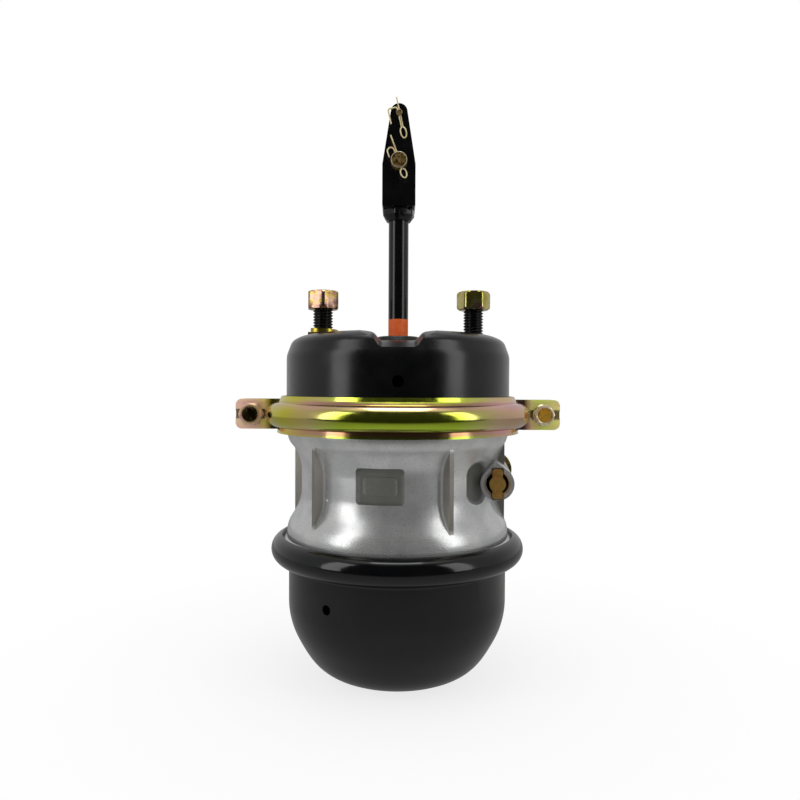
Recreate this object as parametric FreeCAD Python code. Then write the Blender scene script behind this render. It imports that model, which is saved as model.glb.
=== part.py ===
# Double-diaphragm spring brake chamber, shown parked: the power spring has pushed the rod fully out.
# Millimetres. Z runs up the push rod, X through the two mounting studs, and Y from front to back.
# The origin is the middle of the ring on which the spring housing's dome stands.

import FreeCAD
import Part

import math
import os

V = FreeCAD.Vector
UP = V(0, 0, 1)

# Stroke and running clearances
stroke = 63.5
stroke_margin = 1.1
slide_clearance = 0.05
pin_clearance = 0.06
seat_gap = 0.3

# Spring housing, deep drawn from sheet steel
spring_wall = 3.0
spring_radius = 86.4
dome_radius = 61.2
roll_height = 101.8
roll_radius = 10.7
roll_end_angle = 78.0
roll_neck_radius = 3.0
dimple_depth = 7.0
dimple_radius = 19.0
release_hole_radius = 13.6
vent_hole_radius = 3.6
vent_hole_drop = 32.3
vent_hole_azimuth = -35.5

# Dust plug
plug_head_radius = 17.0
plug_head_height = 3.8
plug_stem_length = 7.0
plug_wall = 2.0

# Flange case, cast aluminium
diaphragm_thickness = 3.4
bead_thickness = 3.8
bead_inner_radius = 84.0
bead_radius = 94.5
flange_radius = 95.8
lower_flange_height = 6.7
ledge_radius = 90.0
ledge_height = 11.6
foot_radius = 87.8
foot_round = 20.8
lower_flare_angle = 32.2
lower_flare_round = 28.6
waist_radius = 76.4
waist_rise = 45.2
waist_drop = 42.6
upper_flare_round = 30.0
upper_flare_angle = 40.0
neck_round = 14.0
neck_radius = 87.6
upper_flange_height = 5.7
case_span = 103.8
case_wall = 6.2
web_rise = 47.2
web_thickness = 10.0
hub_radius = 24.0
hub_drop = 5.0
hub_rise = 4.6
cavity_mouth_radius = 82.0
cavity_corner = 8.0
casting_turn = -9.5

# Casting details
rib_angles = (-144.0, -90.0, -36.0, 36.0, 90.0, 144.0)
rib_outer_radius = 85.2
rib_foot_rise = 22.2
rib_top_drop = 17.6
rib_tip_thickness = 3.5
rib_draft = 12.5
pad_width = 35.0
pad_height = 26.0
pad_offset = 3.0
pad_depth = 3.4
pad_corner_radius = 3.0
lozenge_inset = 5.0
lozenge_height = 0.8

# Air ports
port_radius = 8.0
port_thread_length = 13.0
port_boss_radius = 13.5
port_face_radius = 88.0
port_drill_radius = 4.0
port_spread = 18.0
service_port_rise = 14.0
spring_port_drop = 16.0

# Release bolt and its pocket
pocket_offset = 2.3
pocket_axis_distance = 78.5
pocket_skew = 5.5
pocket_front = -51.0
pocket_back = 42.0
pocket_outer_radius = 12.4
pocket_bore_radius = 8.3
pocket_ridge = 15.4
key_width = 9.0
pocket_chamfer = 2.0
scoop_radius = 30.0
scoop_depth = 4.4
scoop_round = 12.0
scoop_height = 36.0
scoop_azimuth = 51.0
release_bolt_radius = 6.0
release_bolt_length = 140.0
tee_width = 7.5
tee_length = 22.4
tee_height = 6.5
tee_stand_out = 1.2
tee_hub_height = 1.0
tee_round = 1.6
release_washer_radius = 16.0
release_washer_thickness = 2.6
release_nut_flats = 19.0
release_nut_height = 11.0

# Bush and seals round the transfer rod
transfer_radius = 13.0
bush_wall = 3.0
seal_radius = 1.0
seal_offset = 5.0

# Transfer rod and its two heads
transfer_foot_radius = 40.0
transfer_foot_height = 8.0
transfer_head_radius = 36.0
transfer_head_height = 10.0
transfer_spigot_radius = 9.0
service_disc_radius = 50.0
spring_disc_rise = 29.2
spring_disc_radius = 47.0

# Pressure plate and power spring
plate_wall = 5.0
plate_flat_radius = 44.0
plate_skirt_radius = 57.0
plate_skirt_drop = 24.0
plate_shoulder_drop = 14.5
plate_hub_radius = 14.0
plate_hub_length = 22.0
power_wire_radius = 5.5
power_top_radius = 40.3
power_bottom_radius = 36.0
power_turns = 6.0

# Service housing, pressed steel
service_wall = 3.4
service_radius = 88.5
service_depth = 63.3
face_flat_radius = 68.0
crown_end_radius = 81.5
crown_slope = 30.0
shoulder_drop = 16.7
shoulder_taper = 20.0
shoulder_round = 12.0
flange_throat = 5.0
weep_hole_radius = 4.1
weep_hole_rise = 26.6

# Valley pressed across the mounting face
valley_depth = 6.5
valley_floor_width = 22.0
valley_side_angle = 50.0
valley_floor_round = 4.0
valley_edge_round = 6.0
valley_edge_end = 8.0
valley_flat_length = 96.0
valley_fall_radius = 111.0
valley_fall_angle = 16.0
boss_drop = 0.5
boss_radius = 16.5
boss_side_angle = 60.0
boss_round = 1.6

# Mounting studs with nuts and washers
stud_spacing = 120.65
stud_radius = 7.94
stud_core_radius = 7.2
stud_head_radius = 8.6
stud_head_height = 6.0
stud_plain_length = 7.5
stud_nut_height = 14.8
stud_nut_bottom = 21.1
stud_nut_flats = 23.8
stud_nut_turns = (37.7, -3.0)
washer_bore_radius = 8.3
washer_outer_radius = 12.1
washer_thickness = 3.1
washer_rise = 2.6
washer_sweep = 328.0

# Push rod, push plate, guide and return spring
rod_radius = 7.94
band_height = 13.9
band_depth = 0.3
push_plate_radius = 56.0
push_plate_wall = 3.6
push_plate_rim = 5.0
guide_height = 6.0
guide_outer_radius = 13.6
guide_hole_radius = 10.5
return_wire_radius = 1.8
return_top_radius = 42.0
return_bottom_radius = 26.0
return_turns = 4.0

# Clamp ring
clamp_wall = 2.6
clamp_lip_radius = 95.2
clamp_bulge_radius = 9.5
clamp_rise = 1.0
clamp_lip_height = 4.9
clamp_top_inset = 4.2
clamp_half_gap = 4.5
ear_thickness = 4.4
ear_length = 128.6
ear_height = 23.8
ear_corner_radius = 5.0
ear_groove_height = 8.0
ear_groove_depth = 1.6
ear_bolt_distance = 115.6
clamp_bolt_radius = 5.55
clamp_bolt_stand_out = 6.5
clamp_head_flats = 15.9
clamp_head_height = 6.5
clamp_nut_flats = 17.5
clamp_nut_height = 8.5

# Clevis, lock nut, pins and cotters
rod_stand_out = 91.5
lock_nut_height = 9.5
lock_nut_flats = 23.8
lock_nut_turn = 21.5
clevis_width = 26.0
clevis_depth = 28.5
clevis_slot = 16.0
clevis_slot_floor = 17.0
clevis_foot_round = 0.6
clevis_taper_start = 32.5
clevis_tip_radius = 6.5
clevis_length = 79.6
clevis_thread_depth = 14.0
clevis_pin_height = 33.5
link_pin_height = 71.3
clevis_pin_radius = 6.35
link_pin_radius = 2.4
pin_head_height = 3.5
clevis_pin_stand_out = 8.6
link_pin_stand_out = 4.4
clevis_cotter_tilt = 20.5
link_cotter_tilt = 13.0
cotter_wire_radius = 0.55
cotter_eye_half = 2.2
cotter_from_end = 2.8

# Heights that follow from the sizes above
joint_height = roll_height + case_span
waist_bottom = roll_height + waist_rise
waist_top = joint_height - waist_drop
waist_middle = (waist_bottom + waist_top) / 2
web_bottom = roll_height + web_rise
web_top = web_bottom + web_thickness
hub_bottom = web_bottom - hub_drop
hub_top = web_top + hub_rise
rib_bottom = roll_height + rib_foot_rise
rib_top = joint_height - rib_top_drop
pad_centre_height = waist_middle + pad_offset
pocket_height = waist_middle + pocket_offset
service_port_height = web_top + service_port_rise
spring_port_height = web_bottom - spring_port_drop
vent_hole_height = roll_height - vent_hole_drop
service_face = joint_height + service_depth
weep_hole_height = joint_height + weep_hole_rise
clamp_mid_height = joint_height + clamp_rise
service_disc_bottom = hub_top + stroke_margin + stroke + transfer_head_height
spring_disc_bottom = roll_height + spring_disc_rise
lock_nut_bottom = service_face + rod_stand_out
neck_height = roll_height - roll_radius - roll_neck_radius
roll_inner_radius = roll_radius - spring_wall
roll_centre_radius = spring_radius + roll_neck_radius
bead_bottom = roll_height - roll_inner_radius + 0.2
case_bottom = bead_bottom + bead_thickness + 0.2
service_bead_top = joint_height + bead_thickness + 0.2
plug_hole_top = dimple_depth + spring_wall
spring_disc_top = spring_disc_bottom + diaphragm_thickness + 2 * seat_gap
service_disc_top = service_disc_bottom + diaphragm_thickness + 2 * seat_gap
transfer_top = service_disc_bottom - transfer_head_height
valley_floor = service_face - valley_depth
boss_top = service_face - boss_drop
rod_plate_top = service_disc_top + push_plate_wall
clevis_bottom = lock_nut_bottom + lock_nut_height
clevis_pin_z = clevis_bottom + clevis_pin_height
link_pin_z = clevis_bottom + link_pin_height
clevis_tip = clevis_bottom + clevis_length
key_depth = tee_height - tee_stand_out + seat_gap
nut_bottom = service_face + stud_nut_bottom
half_spacing = stud_spacing / 2


def point(radius, height):
    return V(radius, 0, height)


def edges_through(steps, closed=True):
    """Edges of an outline. A step is a point, or a pair: the middle and the end of an arc."""
    edges = []
    start = steps[0]
    last = start
    for step in steps[1:]:
        if isinstance(step, tuple):
            edges.append(Part.Arc(last, step[0], step[1]).toShape())
            last = step[1]
        else:
            edges.append(Part.makeLine(last, step))
            last = step
    if closed and last.distanceToPoint(start) > 1e-6:
        edges.append(Part.makeLine(last, start))
    return edges


def face_of(steps):
    return Part.Face(Part.Wire(edges_through(steps)))


def turned(steps, angle=360.0):
    """A profile in the XZ plane turned about the Z axis."""
    return face_of(steps).revolve(V(0, 0, 0), UP, angle)


def on_arc(centre_radius, centre_height, radius, angle):
    turn = math.radians(angle)
    return point(centre_radius + radius * math.cos(turn), centre_height + radius * math.sin(turn))


def around(azimuth, radius, height):
    """A place at an azimuth, counted from the front (-Y) towards +X."""
    turn = math.radians(azimuth)
    return V(radius * math.sin(turn), -radius * math.cos(turn), height)


def to_azimuth(shape, azimuth):
    """Turn a shape that was built on the front (-Y) side to an azimuth."""
    return shape.rotated(V(0, 0, 0), UP, azimuth)


def disc(radius, height, centre, axis=UP):
    return Part.makeCylinder(radius, height, centre, axis)


def ring(outer, inner, height, centre, axis=UP):
    return disc(outer, height, centre, axis).cut(disc(inner, height, centre, axis))


def hexagon(flats, height):
    corner = flats / math.sqrt(3)
    points = [V(corner * math.cos(math.radians(60 * k)), corner * math.sin(math.radians(60 * k)), 0)
              for k in range(6)]
    return Part.Face(Part.makePolygon(points + points[:1])).extrude(V(0, 0, height))


def chamfered_hexagon(flats, height, both_ends=True):
    """A hexagon whose corners are turned down at 30 degrees, as nuts and bolt heads are."""
    corner = flats / math.sqrt(3)
    rim = flats / 2 - 0.3
    rise = (corner - rim) * math.tan(math.radians(30))
    if both_ends:
        steps = [point(0, 0), point(rim, 0), point(corner, rise)]
    else:
        steps = [point(0, 0), point(corner, 0)]
    steps += [point(corner, height - rise), point(rim, height), point(0, height)]
    return hexagon(flats, height).common(turned(steps))


def nut(flats, height, bore):
    body = chamfered_hexagon(flats, height)
    return body.cut(disc(bore, height, V(0, 0, 0)))


def coil(bottom_radius, top_radius, bottom, height, turns, wire_radius):
    """A round-wire spring, conical where its radii differ. Its end turns close up where there is room."""
    steps_each = 16
    closed = min(2 * wire_radius * 1.04, height / turns)
    open_pitch = (height - 2 * closed) / (turns - 2)
    places = []
    for index in range(int(turns * steps_each) + 1):
        turn = index / steps_each
        middle = min(max(turn - 1, 0), turns - 2)
        rise = closed * (min(turn, 1) + max(turn - turns + 1, 0)) + open_pitch * middle
        radius = bottom_radius + (top_radius - bottom_radius) * turn / turns
        angle = 2 * math.pi * turn
        places.append(V(radius * math.cos(angle), radius * math.sin(angle), bottom + rise))
    line = Part.BSplineCurve()
    line.interpolate(places)
    section = Part.Wire(Part.makeCircle(wire_radius, places[0], line.tangent(0)[0]))
    return Part.Wire(line.toShape()).makePipeShell([section], True, False)


def dome_outline(offset):
    """Outer (offset 0) or inner line of the drawn dome, from the crown ring up to the neck."""
    radius = dome_radius - offset
    centre = spring_radius - dome_radius
    return [
        on_arc(centre, dome_radius, radius, -90),
        (on_arc(centre, dome_radius, radius, -45), on_arc(centre, dome_radius, radius, 0)),
        point(spring_radius - offset, neck_height),
    ]


def reversed_outline(steps):
    """The same outline walked the other way."""
    ends = [step[1] if isinstance(step, tuple) else step for step in steps]
    back = [ends[-1]]
    for index in range(len(steps) - 1, 0, -1):
        step = steps[index]
        back.append((step[0], ends[index - 1]) if isinstance(step, tuple) else ends[index - 1])
    return back


def spring_housing():
    """The drawn dome, with its top edge rolled over the flange case's lower flange."""
    outside = dome_outline(0)
    inside = reversed_outline(dome_outline(spring_wall))
    neck_centre = roll_centre_radius
    neck_inner = roll_neck_radius + spring_wall
    roll_middle = (roll_end_angle - 90) / 2
    steps = [point(release_hole_radius, dimple_depth), point(dimple_radius, dimple_depth)] + outside
    steps.append((on_arc(neck_centre, neck_height, roll_neck_radius, 135),
                  on_arc(neck_centre, neck_height, roll_neck_radius, 90)))
    steps.append((on_arc(roll_centre_radius, roll_height, roll_radius, roll_middle),
                  on_arc(roll_centre_radius, roll_height, roll_radius, roll_end_angle)))
    steps.append(on_arc(roll_centre_radius, roll_height, roll_inner_radius, roll_end_angle))
    steps.append((on_arc(roll_centre_radius, roll_height, roll_inner_radius, roll_middle),
                  on_arc(roll_centre_radius, roll_height, roll_inner_radius, -90)))
    steps.append((on_arc(neck_centre, neck_height, neck_inner, 135), inside[0]))
    steps += inside[1:]
    steps += [point(dimple_radius - 1.0, plug_hole_top), point(release_hole_radius, plug_hole_top)]
    shell = turned(steps)
    vent = disc(vent_hole_radius, spring_wall * 4, around(vent_hole_azimuth, spring_radius - 2 * spring_wall,
                vent_hole_height), around(vent_hole_azimuth, 1, 0))
    return shell.cut(vent)


def dust_plug():
    stem = release_hole_radius - slide_clearance
    head_bottom = dimple_depth - plug_head_height
    top = dimple_depth + plug_stem_length
    hollow = stem - plug_wall
    return turned([
        point(0, head_bottom), point(plug_head_radius - 1.2, head_bottom),
        point(plug_head_radius, head_bottom + 1.2), point(plug_head_radius, dimple_depth),
        point(stem, dimple_depth), point(stem, top - 1), point(stem - 1, top), point(hollow, top),
        point(hollow, dimple_depth), point(0, dimple_depth)])


def flare(inner_radius, inner_height, outer_radius, inner_round, outer_round, angle, way):
    """Outline from a waist out to a larger radius: an arc, a straight slope and an arc back to upright."""
    turn = math.radians(angle)
    bend = 1 - math.cos(turn)
    slope = (outer_radius - inner_radius - (inner_round + outer_round) * bend) / math.sin(turn)
    first = point(inner_radius + inner_round * bend, inner_height + way * inner_round * math.sin(turn))
    second = first + V(slope * math.sin(turn), 0, way * slope * math.cos(turn))
    end = point(outer_radius, second.z + way * outer_round * math.sin(turn))
    half = math.radians(angle / 2)
    low = point(inner_radius + inner_round * (1 - math.cos(half)),
                inner_height + way * inner_round * math.sin(half))
    high = point(outer_radius - outer_round * (1 - math.cos(half)),
                 end.z - way * outer_round * math.sin(half))
    return [point(inner_radius, inner_height), (low, first), second, (high, end)]


def case_outside():
    """The turned outer form of the casting: lower flange, flare, waist and upper flange."""
    flange_top = case_bottom + lower_flange_height
    ledge = case_bottom + ledge_height
    below = reversed_outline(flare(waist_radius, waist_bottom, foot_radius, lower_flare_round, foot_round,
                                   lower_flare_angle, -1))
    above = flare(waist_radius, waist_top, neck_radius, upper_flare_round, neck_round, upper_flare_angle, 1)
    upper_flange_bottom = joint_height - upper_flange_height
    steps = [point(0, case_bottom), point(flange_radius, case_bottom), point(flange_radius, flange_top),
             point(ledge_radius, ledge), point(foot_radius, ledge + 1)]
    steps += below + above
    steps += [point(neck_radius, upper_flange_bottom), point(flange_radius, upper_flange_bottom),
              point(flange_radius, joint_height), point(0, joint_height)]
    return steps


def cavity(floor, mouth, hub_end):
    """One of the two air cavities, open at its mouth and with a hub standing on its floor."""
    side = waist_radius - case_wall
    way = 1 if mouth > floor else -1
    rise = way * cavity_corner
    bend = 1 - math.sqrt(0.5)
    return [
        point(hub_radius, floor), point(side - cavity_corner, floor),
        (point(side - cavity_corner * bend, floor + rise * bend), point(side, floor + rise)),
        point(side, floor + 2.4 * rise), point(cavity_mouth_radius, mouth - 4 * way),
        point(cavity_mouth_radius, mouth), point(0, mouth), point(0, hub_end), point(hub_radius, hub_end)]


def rib(angle):
    """A drafted rib that stands out of the waist and runs out in the two flares."""
    inner = waist_radius - case_wall / 2
    tip = rib_tip_thickness / 2
    base = tip + (rib_outer_radius - inner) * math.tan(math.radians(rib_draft))
    corners = [V(-base, -inner, rib_bottom), V(-tip, -rib_outer_radius, rib_bottom),
               V(tip, -rib_outer_radius, rib_bottom), V(base, -inner, rib_bottom)]
    plate = Part.Face(Part.makePolygon(corners + corners[:1])).extrude(V(0, 0, rib_top - rib_bottom))
    return to_azimuth(plate, angle + casting_turn)


def rounded_box(width, height, depth, front, centre_height, corner):
    """A box on the front side with its four upright edges rounded. Depth runs back along Y."""
    box = Part.makeBox(width, depth, height, V(-width / 2, front, centre_height - height / 2))
    along = [edge for edge in box.Edges if abs(abs(edge.tangentAt(edge.FirstParameter).y) - 1) < 1e-6]
    return box.makeFillet(corner, along)


def data_pad_cut():
    """The shallow rectangular recess on the front of the casting, with a raised lozenge in it."""
    floor = -(waist_radius - pad_depth)
    recess = rounded_box(pad_width, pad_height, pad_depth * 3, floor - pad_depth * 3,
                         pad_centre_height, pad_corner_radius)
    lozenge = rounded_box(pad_width - 2 * lozenge_inset, pad_height - 2.6 * lozenge_inset,
                          lozenge_height, floor - lozenge_height, pad_centre_height, pad_corner_radius)
    return to_azimuth(recess.cut(lozenge), casting_turn)


def port_boss(azimuth, height):
    reach = port_face_radius - waist_radius + case_wall / 2
    return disc(port_boss_radius, reach, around(azimuth, port_face_radius - reach, height),
                around(azimuth, 1, 0))


def port_holes(azimuth, height):
    outward = around(azimuth, 1, 0)
    thread = disc(port_radius, port_thread_length,
                  around(azimuth, port_face_radius - port_thread_length, height), outward)
    drill = disc(port_drill_radius, port_face_radius - waist_radius + 2 * case_wall,
                 around(azimuth, waist_radius - 2 * case_wall, height), outward)
    return thread.fuse(drill)


def ports():
    back = 180.0 + casting_turn
    return ((back - port_spread, service_port_height), (back + port_spread, spring_port_height))


def pocket_frame():
    """Axis of the release bolt's pocket: a point beside the Z axis and the way out to the front."""
    turn = math.radians(pocket_skew)
    middle = V(pocket_axis_distance, 0, pocket_height)
    forward = V(-math.sin(turn), -math.cos(turn), 0)
    return middle, forward


def along_pocket(distance):
    """A place on the pocket's axis, counted forwards from its middle."""
    middle, forward = pocket_frame()
    return middle + forward * distance


def pocket_body():
    """The cast tube for the release bolt, with a pointed ridge that runs up to the rib above it."""
    length = pocket_back - pocket_front
    tube = disc(pocket_outer_radius, length, along_pocket(-pocket_back), pocket_frame()[1])
    half = pocket_outer_radius * math.cos(math.radians(45))
    side = [V(-half, 0, half), V(0, 0, pocket_ridge), V(half, 0, half), V(0, 0, 0)]
    wedge = Part.Face(Part.makePolygon(side + side[:1])).extrude(V(0, -length, 0))
    wedge = wedge.rotated(V(0, 0, 0), UP, -pocket_skew)
    return tube.fuse(wedge.translated(along_pocket(-pocket_back)))


def key_bar(width, length, depth, front):
    """An upright bar across the pocket's axis. It runs back from a distance along the axis."""
    bar = Part.makeBox(width, depth, length, V(-width / 2, 0, -length / 2))
    return bar.rotated(V(0, 0, 0), UP, -pocket_skew).translated(along_pocket(front))


def pocket_cut():
    """Bore, mouth chamfer and the two key slots that take the release bolt's cross bar."""
    length = pocket_back - pocket_front
    mouth = along_pocket(-pocket_front)
    forward = pocket_frame()[1]
    bore = disc(pocket_bore_radius, length + 2, along_pocket(-pocket_back - 1), forward)
    lead = Part.makeCone(pocket_bore_radius + pocket_chamfer, pocket_bore_radius, pocket_chamfer,
                         mouth, -forward)
    key = key_bar(key_width, tee_length + 1.2, key_depth, -pocket_front)
    return bore.fuse(lead).fuse(key)


def pocket_scoop():
    """Soft hollow in the waist beside the pocket's mouth, with room for the cross bar and fingers."""
    barrel = disc(scoop_radius, scoop_height, V(0, 0, -scoop_height / 2))
    rims = [edge for edge in barrel.Edges if abs(abs(edge.CenterOfMass.z) - scoop_height / 2) < 1e-6]
    barrel = barrel.makeFillet(scoop_round, rims)
    return barrel.translated(around(scoop_azimuth, waist_radius + scoop_radius - scoop_depth, pocket_height))


def flange_case():
    """The waisted casting between the two chambers."""
    body = turned(case_outside())
    body = body.cut(turned(cavity(web_top, joint_height, hub_top)))
    body = body.cut(turned(cavity(web_bottom, case_bottom, hub_bottom)))
    for angle in rib_angles:
        body = body.fuse(rib(angle))
    for azimuth, height in ports():
        body = body.fuse(port_boss(azimuth, height))
    body = body.cut(pocket_scoop())
    body = body.fuse(pocket_body())
    body = body.cut(data_pad_cut())
    for azimuth, height in ports():
        body = body.cut(port_holes(azimuth, height))
    body = body.cut(pocket_cut())
    bush_hole = disc(transfer_radius + bush_wall, hub_top - hub_bottom, V(0, 0, hub_bottom))
    return body.cut(bush_hole).removeSplitter()


def rod_bush():
    """Bronze bush in the web, with two grooves for the seals."""
    bore = transfer_radius + slide_clearance
    outer = transfer_radius + bush_wall
    body = ring(outer, bore, hub_top - hub_bottom, V(0, 0, hub_bottom))
    for height in seal_heights():
        groove = seal_radius + seat_gap / 2
        body = body.cut(ring(transfer_radius + 2 * groove, bore, 2 * groove, V(0, 0, height - groove)))
    return body


def seal_heights():
    middle = (hub_top + hub_bottom) / 2
    return (middle - seal_offset, middle + seal_offset)


def rod_seals():
    centre = transfer_radius + seal_radius + seat_gap / 2
    seals = [Part.makeTorus(centre, seal_radius, V(0, 0, height)) for height in seal_heights()]
    return Part.makeCompound(seals)


def transfer_rod():
    """Rod through the web. Its foot stands on the spring diaphragm."""
    foot_top = spring_disc_top + transfer_foot_height
    return turned([
        point(0, spring_disc_top), point(transfer_foot_radius - 2, spring_disc_top),
        point(transfer_foot_radius, spring_disc_top + 2), point(transfer_foot_radius, spring_disc_top + 4),
        point(transfer_radius + 8, foot_top), point(transfer_radius, foot_top),
        point(transfer_radius, transfer_top), point(transfer_spigot_radius, transfer_top),
        point(transfer_spigot_radius, service_disc_bottom - 2), point(0, service_disc_bottom - 2)])


def transfer_head():
    """Pad on top of the transfer rod, under the service diaphragm."""
    bore = transfer_spigot_radius + slide_clearance
    return turned([
        point(bore, transfer_top), point(transfer_radius + 6, transfer_top),
        point(transfer_head_radius, service_disc_bottom - 4),
        point(transfer_head_radius, service_disc_bottom - 1.5),
        point(transfer_head_radius - 1.5, service_disc_bottom), point(bore, service_disc_bottom)])


def diaphragm(disc_bottom, disc_radius, bead_low):
    """Moulded rubber diaphragm: a flat middle, one long roll and a bead that the flanges grip."""
    low = disc_bottom + seat_gap
    high = low + diaphragm_thickness
    bead_high = bead_low + bead_thickness
    knee = bead_inner_radius - 4
    return turned([
        point(0, low), point(disc_radius, low),
        point(knee - 3, bead_low + 6), (point(knee - 1.2, bead_low + 1.8), point(knee + 3, bead_low)),
        point(bead_radius - 4, bead_low), point(bead_radius, bead_low + 2.6), point(bead_radius, bead_high),
        point(knee + 1.7, bead_high),
        (point(knee + 0.9, bead_high + 1.2), point(knee + 0.5, bead_high + 3.6)),
        point(disc_radius + 1.5, high), point(0, high)])


def pressure_plate():
    """Dished plate that the power spring pushes up, with a keyed hub for the release bolt."""
    top = spring_disc_bottom
    inner = plate_skirt_radius - plate_wall
    body = turned([
        point(release_bolt_radius + 2, top), point(plate_flat_radius, top),
        point(plate_skirt_radius, top - plate_shoulder_drop),
        point(plate_skirt_radius, top - plate_skirt_drop),
        point(inner, top - plate_skirt_drop), point(inner, top - plate_shoulder_drop + 2),
        point(plate_flat_radius - 1, top - plate_wall), point(plate_hub_radius, top - plate_wall),
        point(plate_hub_radius, top - plate_hub_length),
        point(release_bolt_radius + 2, top - plate_hub_length)])
    slot = Part.makeBox(key_width, tee_length + 1.2, plate_wall,
                        V(-key_width / 2, -(tee_length + 1.2) / 2, top - plate_hub_length))
    return body.cut(slot)


def power_spring():
    bottom = spring_wall + power_wire_radius + 2 * seat_gap + 0.8
    top = spring_disc_bottom - plate_wall - power_wire_radius - seat_gap
    return coil(power_bottom_radius, power_top_radius, bottom, top - bottom, power_turns, power_wire_radius)


def service_outline(offset):
    """Outer (offset 0) or inner line of the service housing, from the axis down to the flange.

    From the flat face a crown arc and a tighter corner arc lead into a slightly tapered shoulder.
    """
    slope = math.radians(crown_slope)
    taper = math.radians(shoulder_taper)
    crown = (crown_end_radius - face_flat_radius) / math.sin(slope)
    crown_end = service_face - crown * (1 - math.cos(slope))
    wall_top = service_face - shoulder_drop
    gap = service_radius - crown_end_radius - math.tan(taper) * (crown_end - wall_top)
    lift = math.tan(taper) * (math.sin(taper) - math.cos(slope))
    corner = gap / (math.cos(taper) - math.sin(slope) + lift)
    corner_radius = crown_end_radius - corner * math.sin(slope)
    corner_height = crown_end - corner * math.cos(slope)
    wall_radius = service_radius - shoulder_round
    wall_height = wall_top - shoulder_round * math.tan(taper / 2)
    bottom = service_bead_top + service_wall + flange_throat
    return [
        point(0, service_face - offset), point(face_flat_radius, service_face - offset),
        (on_arc(face_flat_radius, service_face - crown, crown - offset, 90 - crown_slope / 2),
         on_arc(face_flat_radius, service_face - crown, crown - offset, 90 - crown_slope)),
        (on_arc(corner_radius, corner_height, corner - offset, (90 - crown_slope + shoulder_taper) / 2),
         on_arc(corner_radius, corner_height, corner - offset, shoulder_taper)),
        on_arc(wall_radius, wall_height, shoulder_round - offset, shoulder_taper),
        (on_arc(wall_radius, wall_height, shoulder_round - offset, shoulder_taper / 2),
         on_arc(wall_radius, wall_height, shoulder_round - offset, 0)),
        point(service_radius - offset, bottom)]


def valley_side(offset):
    """Half of the valley's section, from the middle of its floor out over its rounded edge."""
    floor_round = valley_floor_round + offset
    edge_round = valley_edge_round - offset
    side = math.radians(valley_side_angle)
    end = math.radians(valley_edge_end)
    half = valley_floor_width / 2
    foot = V(half + floor_round * math.sin(side), 0, floor_round * (1 - math.cos(side)))
    rise = valley_depth - foot.z - edge_round * (math.cos(end) - math.cos(side))
    edge = foot + V(rise / math.tan(side), 0, rise)
    centre = edge + V(edge_round * math.sin(side), 0, -edge_round * math.cos(side))

    def over(angle):
        return centre + V(-edge_round * math.sin(angle), 0, edge_round * math.cos(angle))

    last = over(end)
    out = last + V(1 / math.tan(end), 0, 1)
    bend = V(half + floor_round * math.sin(side / 2), 0, floor_round * (1 - math.cos(side / 2)))
    return [V(half, 0, 0), (bend, foot), edge, (over((side + end) / 2), last), out,
            V(out.x, 0, valley_depth + 12)]


def mirrored(steps):
    """An outline reflected to -X."""
    def flip(place):
        return V(-place.x, place.y, place.z)
    return [(flip(step[0]), flip(step[1])) if isinstance(step, tuple) else flip(step) for step in steps]


def valley_cutter(offset):
    """The space above the valley. Its floor falls away towards both ends, and the boss stands in it."""
    right = valley_side(offset)
    section = mirrored(reversed_outline(right)) + right
    fall = math.radians(valley_fall_angle)
    flat = valley_flat_length / 2
    floor = valley_floor - offset
    radius = valley_fall_radius
    far = 40

    def fallen(angle):
        return V(0, flat + radius * math.sin(angle), floor - radius * (1 - math.cos(angle)))

    tail = fallen(fall) + V(0, far * math.cos(fall), -far * math.sin(fall))
    front = [tail, fallen(fall), (fallen(fall / 2), fallen(0))]
    line = [V(0, -step.y, step.z) if not isinstance(step, tuple) else
            (V(0, -step[0].y, step[0].z), V(0, -step[1].y, step[1].z)) for step in front]
    line += [fallen(0), (fallen(fall / 2), fallen(fall)), tail]
    path = Part.Wire(edges_through(line, False))
    profile = Part.Wire(edges_through(section))
    start = V(0, -tail.y, tail.z)
    profile = profile.rotated(V(0, 0, 0), V(1, 0, 0), valley_fall_angle).translated(start)
    space = path.makePipeShell([profile], True, False)
    return space.cut(boss_cone(offset))


def boss_cone(offset):
    """The raised seat round the push rod, or the space under it."""
    slope = math.tan(math.radians(boss_side_angle))
    shift = offset * (1 / math.sin(math.radians(boss_side_angle)) - 1 / slope)
    top = boss_radius - shift
    height = valley_depth - boss_drop + 12
    cone = Part.makeCone(top + height / slope, top, height, V(0, 0, boss_top - offset - height))
    if offset:
        return cone
    rim = [edge for edge in cone.Edges if abs(edge.CenterOfMass.z - boss_top) < 1e-6]
    return cone.makeFillet(boss_round, rim)


def service_housing():
    """Pressed cup with a flat mounting face, a valley across it and a turned-out flange."""
    low = service_bead_top
    throat = flange_throat
    flange_top = low + service_wall
    corner = V(service_radius + throat, 0, flange_top + throat)
    outer_steps = service_outline(0) + [
        (on_arc(corner.x, corner.z, throat, 225), on_arc(corner.x, corner.z, throat, 270)),
        point(flange_radius, flange_top), point(flange_radius, low), point(0, low)]
    inner_wall = service_radius - service_wall
    inner_steps = service_outline(service_wall) + [point(inner_wall + 3.5, low - 0.01), point(0, low - 0.01)]
    body = turned(outer_steps).cut(valley_cutter(0))
    hollow = turned(inner_steps).cut(valley_cutter(service_wall))
    body = body.cut(hollow)
    body = body.cut(disc(guide_hole_radius, 3 * service_wall, V(0, 0, boss_top - 2 * service_wall)))
    for side in (-1, 1):
        hole = V(side * half_spacing, 0, service_face - 3 * service_wall)
        body = body.cut(disc(stud_core_radius, 4 * service_wall, hole))
    weep = disc(weep_hole_radius, 4 * service_wall, V(0, -service_radius - service_wall, weep_hole_height),
                V(0, 1, 0))
    return body.cut(weep)


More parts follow.
